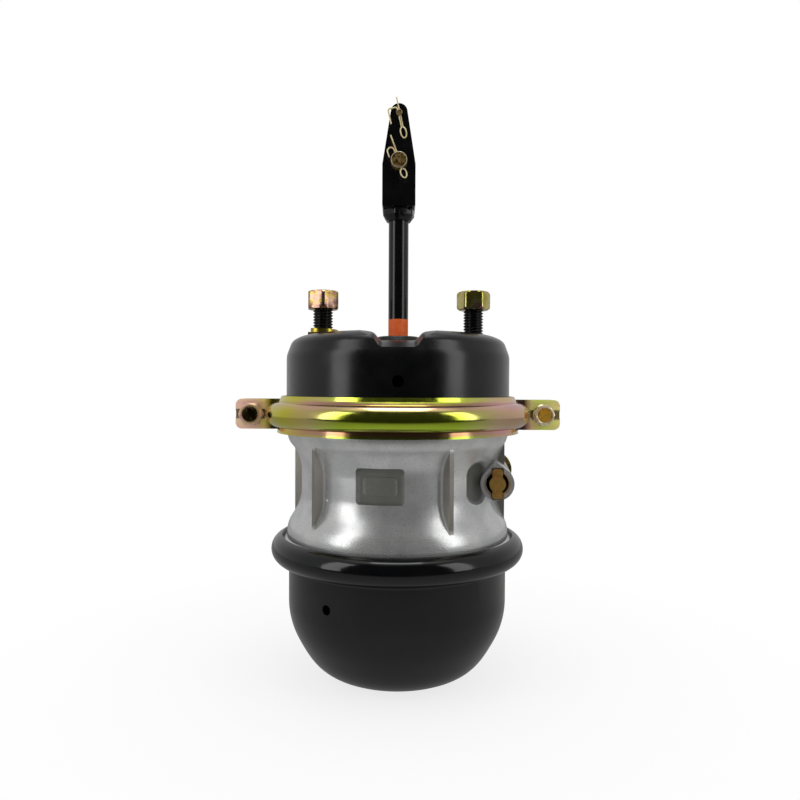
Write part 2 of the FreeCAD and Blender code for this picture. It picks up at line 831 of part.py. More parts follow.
def mounting_stud(side):
    """Stud with its round head inside the housing. Its thread is full size only where it stays bare."""
    under = service_face - service_wall
    plain = service_face + stud_plain_length
    top = nut_bottom + stud_nut_height - 0.5
    steps = [
        point(0, under - stud_head_height), point(stud_head_radius, under - stud_head_height),
        point(stud_head_radius, under - 1), point(stud_head_radius - 1, under),
        point(stud_core_radius, under),
        point(stud_core_radius, plain), point(stud_radius, plain), point(stud_radius, nut_bottom - 0.2),
        point(stud_core_radius, nut_bottom - 0.2), point(stud_core_radius, top - 1.5),
        point(stud_core_radius - 1.5, top), point(0, top)]
    return turned(steps).translated(V(side * half_spacing, 0, 0))


def stud_nut(side):
    body = nut(stud_nut_flats, stud_nut_height, stud_core_radius + slide_clearance)
    turn = stud_nut_turns[0] if side < 0 else stud_nut_turns[1]
    return body.rotated(V(0, 0, 0), UP, turn).translated(V(side * half_spacing, 0, nut_bottom))


def lock_washer():
    """Split spring washer, lying loose on the left stud's pad with its split to the left."""
    turns = washer_sweep / 360
    middle = (washer_outer_radius + washer_bore_radius) / 2
    line = Part.makeHelix(washer_rise / turns, washer_rise, middle)
    half = washer_thickness / 2
    corners = [V(washer_bore_radius, 0, -half), V(washer_outer_radius, 0, -half),
               V(washer_outer_radius, 0, half), V(washer_bore_radius, 0, half)]
    section = Part.makePolygon(corners + corners[:1])
    body = line.makePipeShell([section], True, True)
    body = body.mirror(V(0, 0, 0), V(0, 1, 0)).rotated(V(0, 0, 0), UP, 190)
    return body.translated(V(-half_spacing, 0, service_face + half + 0.1))


def rod_guide():
    """Guide bush under the boss of the mounting face. The push rod slides in it."""
    top = boss_top - service_wall
    bore = rod_radius + slide_clearance
    neck = guide_hole_radius - slide_clearance
    return turned([
        point(bore, top - guide_height), point(guide_outer_radius - 2, top - guide_height),
        point(guide_outer_radius, top - guide_height + 2), point(guide_outer_radius, top),
        point(neck, top), point(neck, top + service_wall - 1), point(bore, top + service_wall - 1)])


def push_rod():
    """Steel rod with a shallow turned band for the stroke mark. Its top is screwed into the clevis."""
    band_low = boss_top
    band_high = band_low + band_height
    inner = rod_radius - band_depth
    top = clevis_bottom + clevis_thread_depth
    foot = service_disc_top + push_plate_wall / 2
    return turned([
        point(0, foot), point(rod_radius, foot), point(rod_radius, band_low),
        point(inner, band_low), point(inner, band_high), point(rod_radius, band_high),
        point(rod_radius, top - 1), point(rod_radius - 1, top), point(0, top)])


def stroke_band():
    return ring(rod_radius, rod_radius - band_depth, band_height, V(0, 0, boss_top))


def push_plate():
    """Pressed disc welded to the rod's foot. It bears on the service diaphragm."""
    low = service_disc_top
    bore = rod_radius
    return turned([
        point(0, low), point(push_plate_radius - 3, low),
        (point(push_plate_radius - 0.9, low + 0.9), point(push_plate_radius, low + 3)),
        point(push_plate_radius, low + push_plate_rim), point(push_plate_radius - 2.6, low + push_plate_rim),
        point(push_plate_radius - 3.4, rod_plate_top), point(bore + 6, rod_plate_top),
        point(bore, rod_plate_top + 4), point(bore, low + push_plate_wall / 2),
        point(0, low + push_plate_wall / 2)])


def return_spring():
    top = valley_floor - service_wall - return_wire_radius - seat_gap
    bottom = rod_plate_top + return_wire_radius + seat_gap
    return coil(return_bottom_radius, return_top_radius, bottom, top - bottom, return_turns,
                return_wire_radius)


def clamp_section():
    """Section of the clamp band: a bulged channel with a short lip along each edge."""
    middle = clamp_mid_height
    bulge = clamp_bulge_radius
    inner = bulge - clamp_wall
    foot = clamp_lip_radius
    lip = clamp_lip_height
    top_lip = foot - clamp_top_inset
    return [
        point(foot, middle - bulge),
        (point(foot + bulge, middle), point(foot, middle + bulge)),
        point(foot - 1.4, middle + bulge + lip * 0.4), point(top_lip + 1.4, middle + bulge + lip),
        point(top_lip, middle + bulge + lip), point(top_lip, middle + bulge - clamp_wall + lip * 0.6),
        point(foot, middle + inner),
        (point(foot + inner, middle), point(foot, middle - inner)),
        point(foot - clamp_wall, middle - bulge), point(foot - clamp_wall + 0.6, middle - bulge - lip + 0.5),
        point(foot + 0.6, middle - bulge - lip + 0.5)]


def clamp_ear(side):
    """Flat ear of the front half, with rounded outer corners and a pressed groove."""
    near = clamp_lip_radius
    plate = Part.makeBox(ear_length - near, ear_thickness, ear_height,
                         V(near, -clamp_half_gap - ear_thickness, clamp_mid_height - ear_height / 2))
    outer = [edge for edge in plate.Edges
             if abs(edge.CenterOfMass.x - ear_length) < 1e-6
             and abs(abs(edge.tangentAt(edge.FirstParameter).y) - 1) < 1e-6]
    plate = plate.makeFillet(ear_corner_radius, outer)
    half = ear_groove_height / 2
    front = -clamp_half_gap - ear_thickness
    corners = [V(near + clamp_bulge_radius, front, clamp_mid_height - half),
               V(near + clamp_bulge_radius, front + ear_groove_depth, clamp_mid_height - half / 2),
               V(near + clamp_bulge_radius, front + ear_groove_depth, clamp_mid_height + half / 2),
               V(near + clamp_bulge_radius, front, clamp_mid_height + half)]
    groove = Part.Face(Part.makePolygon(corners + corners[:1])).extrude(V(60, 0, 0))
    plate = plate.cut(groove)
    hole = disc(clamp_bolt_radius + 0.4, 3 * ear_thickness,
                V(ear_bolt_distance, -clamp_half_gap - 2 * ear_thickness, clamp_mid_height), V(0, 1, 0))
    plate = plate.cut(hole)
    return plate if side > 0 else plate.mirror(V(0, 0, 0), V(1, 0, 0))


def clamp_half(front):
    """One half of the clamp ring: a half turn of the band with an ear at each end."""
    band = turned(clamp_section())
    reach = ear_length + clamp_bulge_radius
    keep = Part.makeBox(2 * reach, reach, 2 * reach,
                        V(-reach, -reach - clamp_half_gap, clamp_mid_height - reach))
    half = band.common(keep)
    for side in (-1, 1):
        half = half.fuse(clamp_ear(side))
    core = disc(clamp_lip_radius - clamp_wall, 2 * clamp_bulge_radius,
                V(0, 0, clamp_mid_height - clamp_bulge_radius))
    inside = turned([
        point(0, clamp_mid_height - clamp_bulge_radius + clamp_wall),
        point(clamp_lip_radius, clamp_mid_height - clamp_bulge_radius + clamp_wall),
        (point(clamp_lip_radius + clamp_bulge_radius - clamp_wall, clamp_mid_height),
         point(clamp_lip_radius, clamp_mid_height + clamp_bulge_radius - clamp_wall)),
        point(0, clamp_mid_height + clamp_bulge_radius - clamp_wall)])
    half = half.cut(inside).cut(core)
    return half if front else half.rotated(V(0, 0, 0), UP, 180)


def clamp_bolt(side):
    """Bolt through both ears. The right one has its head to the front, the left one to the back."""
    grip = 2 * (clamp_half_gap + ear_thickness)
    head = chamfered_hexagon(clamp_head_flats, clamp_head_height, False)
    reach = grip + clamp_nut_height + clamp_bolt_stand_out
    shank = disc(clamp_bolt_radius, reach, V(0, 0, -reach))
    body = head.fuse(shank).rotated(V(0, 0, 0), V(1, 0, 0), 90)
    body = body.translated(V(0, -grip / 2, 0))
    if side < 0:
        body = body.rotated(V(0, 0, 0), UP, 180)
    return body.translated(V(side * ear_bolt_distance, 0, clamp_mid_height))


def clamp_nut(side):
    grip = 2 * (clamp_half_gap + ear_thickness)
    body = nut(clamp_nut_flats, clamp_nut_height, clamp_bolt_radius + slide_clearance)
    body = body.rotated(V(0, 0, 0), V(1, 0, 0), -90).translated(V(0, grip / 2, 0))
    if side < 0:
        body = body.rotated(V(0, 0, 0), UP, 180)
    return body.translated(V(side * ear_bolt_distance, 0, clamp_mid_height))


def release_bolt():
    """Stowed release bolt: its cross bar lies in the pocket's key slots."""
    bar_front = -pocket_front + tee_stand_out
    forward = pocket_frame()[1]
    shank = disc(release_bolt_radius, release_bolt_length + tee_hub_height,
                 along_pocket(bar_front - release_bolt_length), forward)
    bar = key_bar(tee_width, tee_length, tee_height, bar_front)
    rounding = disc(tee_length / 2, tee_height, along_pocket(bar_front - tee_height), forward)
    bar = bar.common(rounding)
    long_edges = [edge for edge in bar.Edges
                  if abs(abs(edge.tangentAt(edge.FirstParameter).dot(forward)) - 1) < 1e-6]
    return shank.fuse(bar.makeFillet(tee_round, long_edges))


def release_washer():
    seat = -pocket_back - release_washer_thickness
    return ring(release_washer_radius, release_bolt_radius + 0.4, release_washer_thickness,
                along_pocket(seat), pocket_frame()[1])


def release_nut():
    body = nut(release_nut_flats, release_nut_height, release_bolt_radius + slide_clearance)
    body = body.rotated(V(0, 0, 0), V(1, 0, 0), 90).rotated(V(0, 0, 0), UP, -pocket_skew)
    return body.translated(along_pocket(-pocket_back - release_washer_thickness - release_nut_height))


def lock_nut():
    body = nut(lock_nut_flats, lock_nut_height, rod_radius + slide_clearance)
    return body.rotated(V(0, 0, 0), UP, lock_nut_turn).translated(V(0, 0, lock_nut_bottom))


def clevis_yoke():
    """Forged fork: straight at its foot, and tapered to a round tip round the link pin."""
    half = clevis_width / 2
    taper = clevis_bottom + clevis_taper_start
    tip_centre = clevis_tip - clevis_tip_radius
    lean = math.atan2(half - clevis_tip_radius, tip_centre - taper)
    shift_x = clevis_tip_radius * math.cos(lean)
    shift_z = clevis_tip_radius * math.sin(lean)
    foot = clevis_foot_round
    steps = [
        V(-half + foot, 0, clevis_bottom), V(half - foot, 0, clevis_bottom),
        V(half, 0, clevis_bottom + foot), V(half, 0, taper), V(shift_x, 0, tip_centre + shift_z),
        (V(0, 0, clevis_tip), V(-shift_x, 0, tip_centre + shift_z)),
        V(-half, 0, taper), V(-half, 0, clevis_bottom + foot)]
    body = face_of(steps).extrude(V(0, clevis_depth, 0)).translated(V(0, -clevis_depth / 2, 0))
    floor = clevis_bottom + clevis_slot_floor
    root = clevis_slot / 2
    slot_side = [
        V(-clevis_width, -root, clevis_tip + 5), V(-clevis_width, -root, floor + root),
        (V(-clevis_width, 0, floor), V(-clevis_width, root, floor + root)),
        V(-clevis_width, root, clevis_tip + 5)]
    body = body.cut(face_of(slot_side).extrude(V(2 * clevis_width, 0, 0)))
    body = body.cut(disc(rod_radius + slide_clearance, clevis_thread_depth + 1, V(0, 0, clevis_bottom)))
    for height, radius in ((clevis_pin_z, clevis_pin_radius), (link_pin_z, link_pin_radius)):
        hole = disc(radius + pin_clearance, 2 * clevis_depth, V(0, -clevis_depth, height), V(0, 1, 0))
        body = body.cut(hole)
    return body


def headed_pin(radius, stand_out, height, head_radius):
    """Pin through the fork: head at the back, cotter hole at the front."""
    front = -clevis_depth / 2 - stand_out
    back = clevis_depth / 2
    length = back - front
    steps = [point(0, 0), point(radius - 0.8, 0), point(radius, 0.8), point(radius, length),
             point(head_radius, length), point(head_radius, length + pin_head_height - 0.6),
             point(head_radius - 0.6, length + pin_head_height), point(0, length + pin_head_height)]
    body = turned(steps).rotated(V(0, 0, 0), V(1, 0, 0), -90)
    return body.translated(V(0, front, height))


def cotter_hole(radius, stand_out, height, tilt):
    """The cross hole that takes the cotter's two legs."""
    place = V(0, -clevis_depth / 2 - stand_out + cotter_from_end, height)
    lean = math.radians(tilt)
    axis = V(-math.sin(lean), 0, math.cos(lean))
    return disc(2 * cotter_wire_radius + 0.3, 4 * radius, place - axis * (2 * radius), axis)


def clevis_pin():
    body = headed_pin(clevis_pin_radius, clevis_pin_stand_out, clevis_pin_z, clevis_pin_radius + 2.4)
    return body.cut(cotter_hole(clevis_pin_radius, clevis_pin_stand_out, clevis_pin_z, clevis_cotter_tilt))


def link_pin():
    body = headed_pin(link_pin_radius, link_pin_stand_out, link_pin_z, link_pin_radius + 1.8)
    return body.cut(cotter_hole(link_pin_radius, link_pin_stand_out, link_pin_z, link_cotter_tilt))


def cotter(neck, eye_end, leg_end, hook_start, hook_round, hook_width, hook_end):
    """A split pin bent from one wire: a long leg, an eye and a second leg hooked over to one side.

    Lengths are counted along the legs from the middle of the pin that it locks.
    """
    spread = cotter_wire_radius + 0.07
    length = neck - eye_end
    eye = Part.BSplineCurve()
    eye.interpolate([V(spread, 0, neck), V(cotter_eye_half, 0, neck - length * 0.6), V(0, 0, eye_end),
                     V(-cotter_eye_half, 0, neck - length * 0.6), V(-spread, 0, neck)],
                    InitialTangent=V(0, 0, -1), FinalTangent=V(0, 0, 1))
    long_leg = Part.makeLine(V(spread, 0, leg_end), V(spread, 0, neck))
    bend = 1 - math.sqrt(0.5)
    left = -spread - hook_round
    far = -spread - hook_width
    top = hook_start + hook_round
    hook = edges_through([
        V(-spread, 0, neck), V(-spread, 0, hook_start),
        (V(left + hook_round * (1 - bend), 0, top - hook_round * bend), V(left, 0, top)),
        V(far + hook_round, 0, top),
        (V(far + hook_round * bend, 0, top - hook_round * bend), V(far, 0, hook_start)),
        V(far, 0, hook_end)], False)
    path = Part.Wire([long_leg, eye.toShape()] + hook)
    section = Part.Wire(Part.makeCircle(cotter_wire_radius, V(spread, 0, leg_end), UP))
    return path.makePipeShell([section], True, False, 1)


def placed_cotter(body, stand_out, height, tilt):
    place = V(0, -clevis_depth / 2 - stand_out + cotter_from_end, height)
    return body.rotated(V(0, 0, 0), V(0, 1, 0), -tilt).translated(place)


def clevis_cotter():
    rim = clevis_pin_radius
    body = cotter(-rim - 0.8, -rim - 7.8, 20.2, rim + 2.4, 2.6, 5.5, rim - 1.8)
    return placed_cotter(body, clevis_pin_stand_out, clevis_pin_z, clevis_cotter_tilt)


def link_cotter():
    rim = link_pin_radius
    body = cotter(-rim - 9.0, -rim - 17.2, 12.4, rim + 0.9, 1.6, 7.3, -rim - 4.4)
    return placed_cotter(body, link_pin_stand_out, link_pin_z, link_cotter_tilt)


def both(make):
    return Part.makeCompound([make(-1), make(1)])


def build():
    return {
        "spring_housing": spring_housing(),
        "dust_plug": dust_plug(),
        "flange_case": flange_case(),
        "rod_bush": rod_bush(),
        "rod_seals": rod_seals(),
        "transfer_rod": transfer_rod(),
        "transfer_head": transfer_head(),
        "spring_diaphragm": diaphragm(spring_disc_bottom, spring_disc_radius, bead_bottom),
        "service_diaphragm": diaphragm(service_disc_bottom, service_disc_radius, joint_height + 0.1),
        "pressure_plate": pressure_plate(),
        "power_spring": power_spring(),
        "service_housing": service_housing(),
        "mounting_stud_left": mounting_stud(-1),
        "mounting_stud_right": mounting_stud(1),
        "stud_nut_left": stud_nut(-1),
        "stud_nut_right": stud_nut(1),
        "lock_washer": lock_washer(),
        "rod_guide": rod_guide(),
        "push_rod": push_rod(),
        "stroke_band": stroke_band(),
        "push_plate": push_plate(),
        "return_spring": return_spring(),
        "clamp_ring_front": clamp_half(True),
        "clamp_ring_rear": clamp_half(False),
        "clamp_bolts": both(clamp_bolt),
        "clamp_nuts": both(clamp_nut),
        "release_bolt": release_bolt(),
        "release_nut": release_nut(),
        "release_washer": release_washer(),
        "lock_nut": lock_nut(),
        "clevis_yoke": clevis_yoke(),
        "clevis_pin": clevis_pin(),
        "clevis_cotter": clevis_cotter(),
        "link_pin": link_pin(),
        "link_cotter": link_cotter(),
    }


os.makedirs("parts", exist_ok=True)
for name, shape in build().items():
    shape.exportStep("parts/" + name + ".step")
    box = shape.BoundBox
    print(name, "solids", len(shape.Solids), "valid", shape.isValid(),
          "volume", round(shape.Volume / 1000, 2), "z", round(box.ZMin, 2), round(box.ZMax, 2))
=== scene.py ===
# %% [markdown]
# # A spring brake chamber, dressed for its portrait
# The real object works a truck's brakes. Its power spring, shut in the black lower can, drives the push
# rod out of the top whenever the air is let go. Here the solids come from the imported model, and Blender
# gives them their finishes: pressed steel in black paint, bare cast aluminium, and yellow zinc.

# %% Load the CAD model
import math

import bmesh
import bpy
from mathutils import Euler, Matrix, Vector


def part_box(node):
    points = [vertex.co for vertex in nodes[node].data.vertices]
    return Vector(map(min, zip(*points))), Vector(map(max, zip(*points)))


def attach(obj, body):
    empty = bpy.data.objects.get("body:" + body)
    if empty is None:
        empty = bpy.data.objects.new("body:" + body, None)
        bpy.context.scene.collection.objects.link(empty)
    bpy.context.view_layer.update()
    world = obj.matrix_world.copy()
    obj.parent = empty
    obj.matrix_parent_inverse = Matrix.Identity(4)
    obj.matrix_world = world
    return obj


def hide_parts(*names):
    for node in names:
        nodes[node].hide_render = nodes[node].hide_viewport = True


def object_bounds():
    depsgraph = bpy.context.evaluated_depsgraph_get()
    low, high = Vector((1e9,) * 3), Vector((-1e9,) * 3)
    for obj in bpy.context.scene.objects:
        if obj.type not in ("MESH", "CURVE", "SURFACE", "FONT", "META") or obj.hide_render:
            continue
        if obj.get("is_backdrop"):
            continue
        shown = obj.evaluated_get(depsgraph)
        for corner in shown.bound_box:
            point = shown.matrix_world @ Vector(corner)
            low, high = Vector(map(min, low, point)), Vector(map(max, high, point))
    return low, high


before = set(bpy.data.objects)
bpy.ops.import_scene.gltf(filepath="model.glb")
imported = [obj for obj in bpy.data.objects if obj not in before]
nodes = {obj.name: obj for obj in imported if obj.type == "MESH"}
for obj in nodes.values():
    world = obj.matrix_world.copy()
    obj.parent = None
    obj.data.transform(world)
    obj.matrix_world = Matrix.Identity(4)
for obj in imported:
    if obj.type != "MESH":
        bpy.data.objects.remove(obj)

cad_low, cad_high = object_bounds()
print("CAD box in mm:", [round(1000 * c) for c in cad_low], [round(1000 * c) for c in cad_high])

# %% [markdown]
# Colours and sizes. A hex colour says how a screen shows a colour, but a shader wants linear light, so
# one function turns the first into the second. Lengths are metres in Blender. Pattern sizes are real
# millimetres: a noise texture of scale 1 has features about a metre apart, so a pattern of so many
# millimetres has a scale of 1000 over that.

# %% Colours and sizes
mm = 0.001


def linear(hex_colour):
    """An sRGB hex colour such as #c0a040 as linear red, green, blue and alpha."""
    parts = [int(hex_colour[i:i + 2], 16) / 255 for i in (1, 3, 5)]
    return [p / 12.92 if p <= 0.04045 else ((p + 0.055) / 1.055) ** 2.4 for p in parts] + [1.0]


def per_mm(spacing):
    """The scale of a texture whose features are this many millimetres apart."""
    return 1000.0 / spacing


print("the grey #808080 is", round(linear("#808080")[0], 3), "of full light")

# %% [markdown]
# Nodes. Materials and meshes below are webs of nodes. One function adds a node with its settings and
# links, so that each finish reads as a short list. Inputs are a dictionary by name or number, or a tuple
# in the node's own order: a Math node's terms, or a Map Range node's value, the two ends that it comes
# from and the two that it goes to. A node given as an input stands for its first live output.

# %% Adding a node
def add(tree, kind, inputs=(), stops=(), **settings):
    """Adds a node. The stops of a colour ramp are pairs of a position and a hex colour."""
    node = tree.nodes.new(kind)
    for name, value in settings.items():
        setattr(node, name, value)
    for name, value in inputs.items() if isinstance(inputs, dict) else enumerate(inputs):
        if isinstance(value, bpy.types.Node):
            value = next(output for output in value.outputs if output.enabled)
        if isinstance(value, bpy.types.NodeSocket):
            tree.links.new(value, node.inputs[name])
        else:
            node.inputs[name].default_value = linear(value) if isinstance(value, str) else value
    for number, (position, colour) in enumerate(stops):
        if number > 1:
            node.color_ramp.elements.new(1.0)
        node.color_ramp.elements[number].position = position
        node.color_ramp.elements[number].color = linear(colour)
    return node


def empty_finish(name):
    """A material whose tree is still empty, and that tree."""
    material = bpy.data.materials.new(name)
    material.use_nodes = True
    material.node_tree.nodes.clear()
    return material, material.node_tree


print("helpers ready")

# %% [markdown]
# Black enamel on drawn steel. The real cans are dipped, primed and sprayed, which leaves a satin gloss
# with a faint orange peel: shallow dimples about two millimetres across. The gloss varies a little from
# place to place. It is highest on the rolled joint, where the tools have burnished the steel, and lowest
# in the pressed valley beside the push rod, where dust settles. Both places are found by their distance
# from a height or from the middle, which needs no picture painted on the part.

# %% Black enamel
roll_height = 101.8 * mm
valley_foot = 244 * mm
valley_rim = 254 * mm


def black_enamel(name, colour, roughness, peel, peel_depth, valley_dust=0.0):
    """Black paint whose orange peel has a width and a depth in millimetres.

    Dust makes the housing's valley rougher by valley_dust.
    """
    material, tree = empty_finish(name)
    place = add(tree, "ShaderNodeTexCoord").outputs["Object"]
    spot = add(tree, "ShaderNodeSeparateXYZ", (place,)).outputs
    off_roll = add(tree, "ShaderNodeMath", (spot["Z"], roll_height), operation="SUBTRACT")
    off_roll = add(tree, "ShaderNodeMath", (off_roll,), operation="ABSOLUTE")
    burnished = add(tree, "ShaderNodeMapRange", (off_roll, 8 * mm, 14 * mm, 0.55, 1.0))
    sideways = add(tree, "ShaderNodeMath", (spot["X"],), operation="ABSOLUTE")
    in_valley = add(tree, "ShaderNodeMapRange", (sideways, 14 * mm, 30 * mm, valley_dust, 0.0))
    high_up = add(tree, "ShaderNodeMapRange", (spot["Z"], valley_foot, valley_rim, 0.0, 1.0))
    dusty = add(tree, "ShaderNodeMath", (in_valley, high_up), operation="MULTIPLY")
    patches = add(tree, "ShaderNodeTexNoise", {"Vector": place, "Scale": per_mm(14), "Detail": 4.0})
    rough = add(tree, "ShaderNodeMapRange", (patches, 0.3, 0.7, roughness - 0.03, roughness + 0.04))
    rough = add(tree, "ShaderNodeMath", (rough, burnished, dusty), operation="MULTIPLY_ADD")
    faded = add(tree, "ShaderNodeMapRange", (patches, 0.35, 0.7, 0.0, 1.0))
    tone = add(tree, "ShaderNodeMix", {0: faded, 6: colour, 7: "#0a0a0c"}, data_type="RGBA")
    dimples = add(tree, "ShaderNodeTexNoise", {"Vector": place, "Scale": per_mm(peel), "Detail": 1.0})
    bump = add(tree, "ShaderNodeBump", {"Height": dimples, "Distance": peel_depth * mm})
    shader = add(tree, "ShaderNodeBsdfPrincipled", {"Base Color": tone, "Roughness": rough, "Normal": bump})
    add(tree, "ShaderNodeOutputMaterial", (shader,))
    return material


can_paint = black_enamel(
    "Black enamel on drawn steel", "#040506", roughness=0.22, peel=2.2, peel_depth=0.005, valley_dust=0.10
)
rod_paint = black_enamel(
    "Black enamel on bar steel", "#030304", roughness=0.16, peel=1.4, peel_depth=0.004
)
yoke_paint = black_enamel(
    "Black enamel on forged steel", "#030304", roughness=0.18, peel=3.0, peel_depth=0.03
)
print("three enamels made")

# %% [markdown]
# Bare cast aluminium. The case is a shot blasted casting, neither machined nor painted: a silver grey
# with faint clouds and tiny pits. The blasting marks are drawn 1.3 mm apart, about twice as coarse as
# real ones, so that they show. The polish of the mould is left low on it, so its foot is smooth and
# bright, and the grain gets coarser towards the neck. The ribs, which stand proud of the waist, carry a
# painted dark brown reflection, and the sunk pad a painted olive shade.
#
# To find ribs and pad, the shader works out how far a point stands proud of the waist's skin. The skin
# is upright for 8 mm each side of the waist's middle, and from there its radius grows with the square
# of the height.

# %% Cast aluminium: how proud a point stands
waist_middle = 155 * mm
waist_radius = 76.4 * mm
waist_upright = 8 * mm
waist_reach = 25 * mm
waist_flare = 16.6

cast_aluminium, tree = empty_finish("Cast aluminium, blasted")
place = add(tree, "ShaderNodeTexCoord").outputs["Object"]
spot = add(tree, "ShaderNodeSeparateXYZ", (place,)).outputs
flat = add(tree, "ShaderNodeVectorMath", (place, (1, 1, 0)), operation="MULTIPLY")
radius = add(tree, "ShaderNodeVectorMath", (flat,), operation="LENGTH")
from_waist = add(tree, "ShaderNodeMath", (spot["Z"], waist_middle), operation="SUBTRACT")
from_waist = add(tree, "ShaderNodeMath", (from_waist,), operation="ABSOLUTE")
flare_range = (waist_upright, waist_upright + waist_reach, 0.0, waist_reach)
from_waist = add(tree, "ShaderNodeMapRange", (from_waist, *flare_range))
flare = add(tree, "ShaderNodeMath", (from_waist, from_waist), operation="MULTIPLY")
skin = add(tree, "ShaderNodeMath", (flare, waist_flare, waist_radius), operation="MULTIPLY_ADD")
proud = add(tree, "ShaderNodeMath", (radius, skin), operation="SUBTRACT")
on_waist = add(tree, "ShaderNodeMapRange", (from_waist, waist_reach - mm, waist_reach, 1.0, 0.0))
print("waist flares to", round(1000 * (waist_radius + waist_flare * waist_reach ** 2), 1), "mm")

# %% [markdown]
# The ribs stand at even bearings, counted both ways from the pad, which sits a little left of the
# front. Taking the bearing modulo the ribs' step folds them all onto one, so that a single mask serves
# every rib.

# %% Cast aluminium: ribs and pad
pad_bearing = math.radians(9.5)
first_rib = math.radians(36)
rib_step = math.radians(54)
rib_width = (math.radians(5), math.radians(7))

ahead = add(tree, "ShaderNodeMath", (spot["Y"], -1.0), operation="MULTIPLY")
bearing = add(tree, "ShaderNodeMath", (spot["X"], ahead), operation="ARCTAN2")
bearing = add(tree, "ShaderNodeMath", (bearing, pad_bearing), operation="ADD")
bearing = add(tree, "ShaderNodeMath", (bearing,), operation="ABSOLUTE")
beside = add(tree, "ShaderNodeMath", (bearing, first_rib - rib_step / 2), operation="SUBTRACT")
beside = add(tree, "ShaderNodeMath", (beside, rib_step), operation="FLOORED_MODULO")
beside = add(tree, "ShaderNodeMath", (beside, rib_step / 2), operation="SUBTRACT")
beside = add(tree, "ShaderNodeMath", (beside,), operation="ABSOLUTE")
near_rib = add(tree, "ShaderNodeMapRange", (beside, *rib_width, 1.0, 0.0))
rib_painted_reflection = add(tree, "ShaderNodeMapRange", (proud, 1 * mm, 3 * mm, 0.0, 0.75))
rib_painted_reflection = add(tree, "ShaderNodeMath", (rib_painted_reflection, on_waist), operation="MULTIPLY")
rib_painted_reflection = add(tree, "ShaderNodeMath", (rib_painted_reflection, near_rib), operation="MULTIPLY")
pad_painted_shade = add(tree, "ShaderNodeMapRange", (proud, -2.0 * mm, -1.2 * mm, 0.65, 0.0))
pad_painted_shade = add(tree, "ShaderNodeMath", (pad_painted_shade, on_waist), operation="MULTIPLY")
print("ribs every", round(math.degrees(rib_step)), "degrees")

# %% [markdown]
# Three greys in slow clouds are the ground, and the masks lay the ribs' painted dark reflection, the
# pad's painted olive shade and the dark pits over it. Aluminium is a metal, but sand and oxide dull a
# casting's skin, so it is metallic by three quarters only.

# %% Cast aluminium: colour and grain
clouds = add(tree, "ShaderNodeTexNoise", {"Vector": place, "Scale": per_mm(24), "Detail": 4.0})
greys = [(0.3, "#c2c4c4"), (0.5, "#d4d5d4"), (0.7, "#e2e3e1")]
tone = add(tree, "ShaderNodeValToRGB", (clouds,), stops=greys)
# Painted dark reflection on the ribs, then painted shade in the sunk pad.
tone = add(tree, "ShaderNodeMix", {0: rib_painted_reflection, 6: tone, 7: "#6f675b"}, data_type="RGBA")
tone = add(tree, "ShaderNodeMix", {0: pad_painted_shade, 6: tone, 7: "#77776a"}, data_type="RGBA")
pits = add(tree, "ShaderNodeTexNoise", {"Vector": place, "Scale": per_mm(1.0), "Detail": 1.0})
pits = add(tree, "ShaderNodeMapRange", (pits, 0.62, 0.74, 0.0, 0.45))
tone = add(tree, "ShaderNodeMix", {0: pits, 6: tone, 7: "#6f706e"}, data_type="RGBA")
speckle = add(tree, "ShaderNodeTexNoise", {"Vector": place, "Scale": per_mm(1.3), "Detail": 2.0})
blasted = add(tree, "ShaderNodeMapRange", (spot["Z"], 150 * mm, 185 * mm, 0.35, 1.0))
grit = add(tree, "ShaderNodeMath", (speckle, blasted), operation="MULTIPLY")
skin_of_casting = {
    "Base Color": tone,
    "Metallic": 0.76,
    "Roughness": add(tree, "ShaderNodeMapRange", (spot["Z"], 120 * mm, 190 * mm, 0.27, 0.36)),
    "Normal": add(tree, "ShaderNodeBump", {"Height": grit, "Distance": 0.06 * mm}),
}
shader = add(tree, "ShaderNodeBsdfPrincipled", skin_of_casting)
add(tree, "ShaderNodeOutputMaterial", (shader,))
print("casting has", len(tree.nodes), "nodes")

# %% [markdown]
# Yellow zinc. Small steel parts are plated with zinc and dipped in a chromate bath, and the thin film
# that is left shows lime, gold and rose where its thickness changes, as oil does on water. The tints
# belong to the film's thickness, which wanders slowly over a part, so a slow noise picks them from a
# ramp. Each part has its own ramp, because the bath takes each a little differently.

# %% Yellow zinc
def yellow_zinc(name, tints, patch, roughness, metallic=1.0):
    """Zinc plating whose film changes tint over patches of this many millimetres."""
    material, tree = empty_finish(name)
    place = add(tree, "ShaderNodeTexCoord").outputs["Object"]
    film = add(tree, "ShaderNodeTexNoise", {"Vector": place, "Scale": per_mm(patch), "Detail": 2.5})
    handled = add(tree, "ShaderNodeTexNoise", {"Vector": place, "Scale": per_mm(6), "Detail": 3.0})
    forged = add(tree, "ShaderNodeTexNoise", {"Vector": place, "Scale": per_mm(2.2), "Detail": 2.0})
    skin_of_part = {
        "Base Color": add(tree, "ShaderNodeValToRGB", (film,), stops=tints),
        "Metallic": metallic,
        "Roughness": add(tree, "ShaderNodeMapRange", (handled, 0.35, 0.65, roughness, roughness + 0.08)),
        "Normal": add(tree, "ShaderNodeBump", {"Height": forged, "Distance": 0.012 * mm}),
    }
    shader = add(tree, "ShaderNodeBsdfPrincipled", skin_of_part)
    add(tree, "ShaderNodeOutputMaterial", (shader,))
    return material


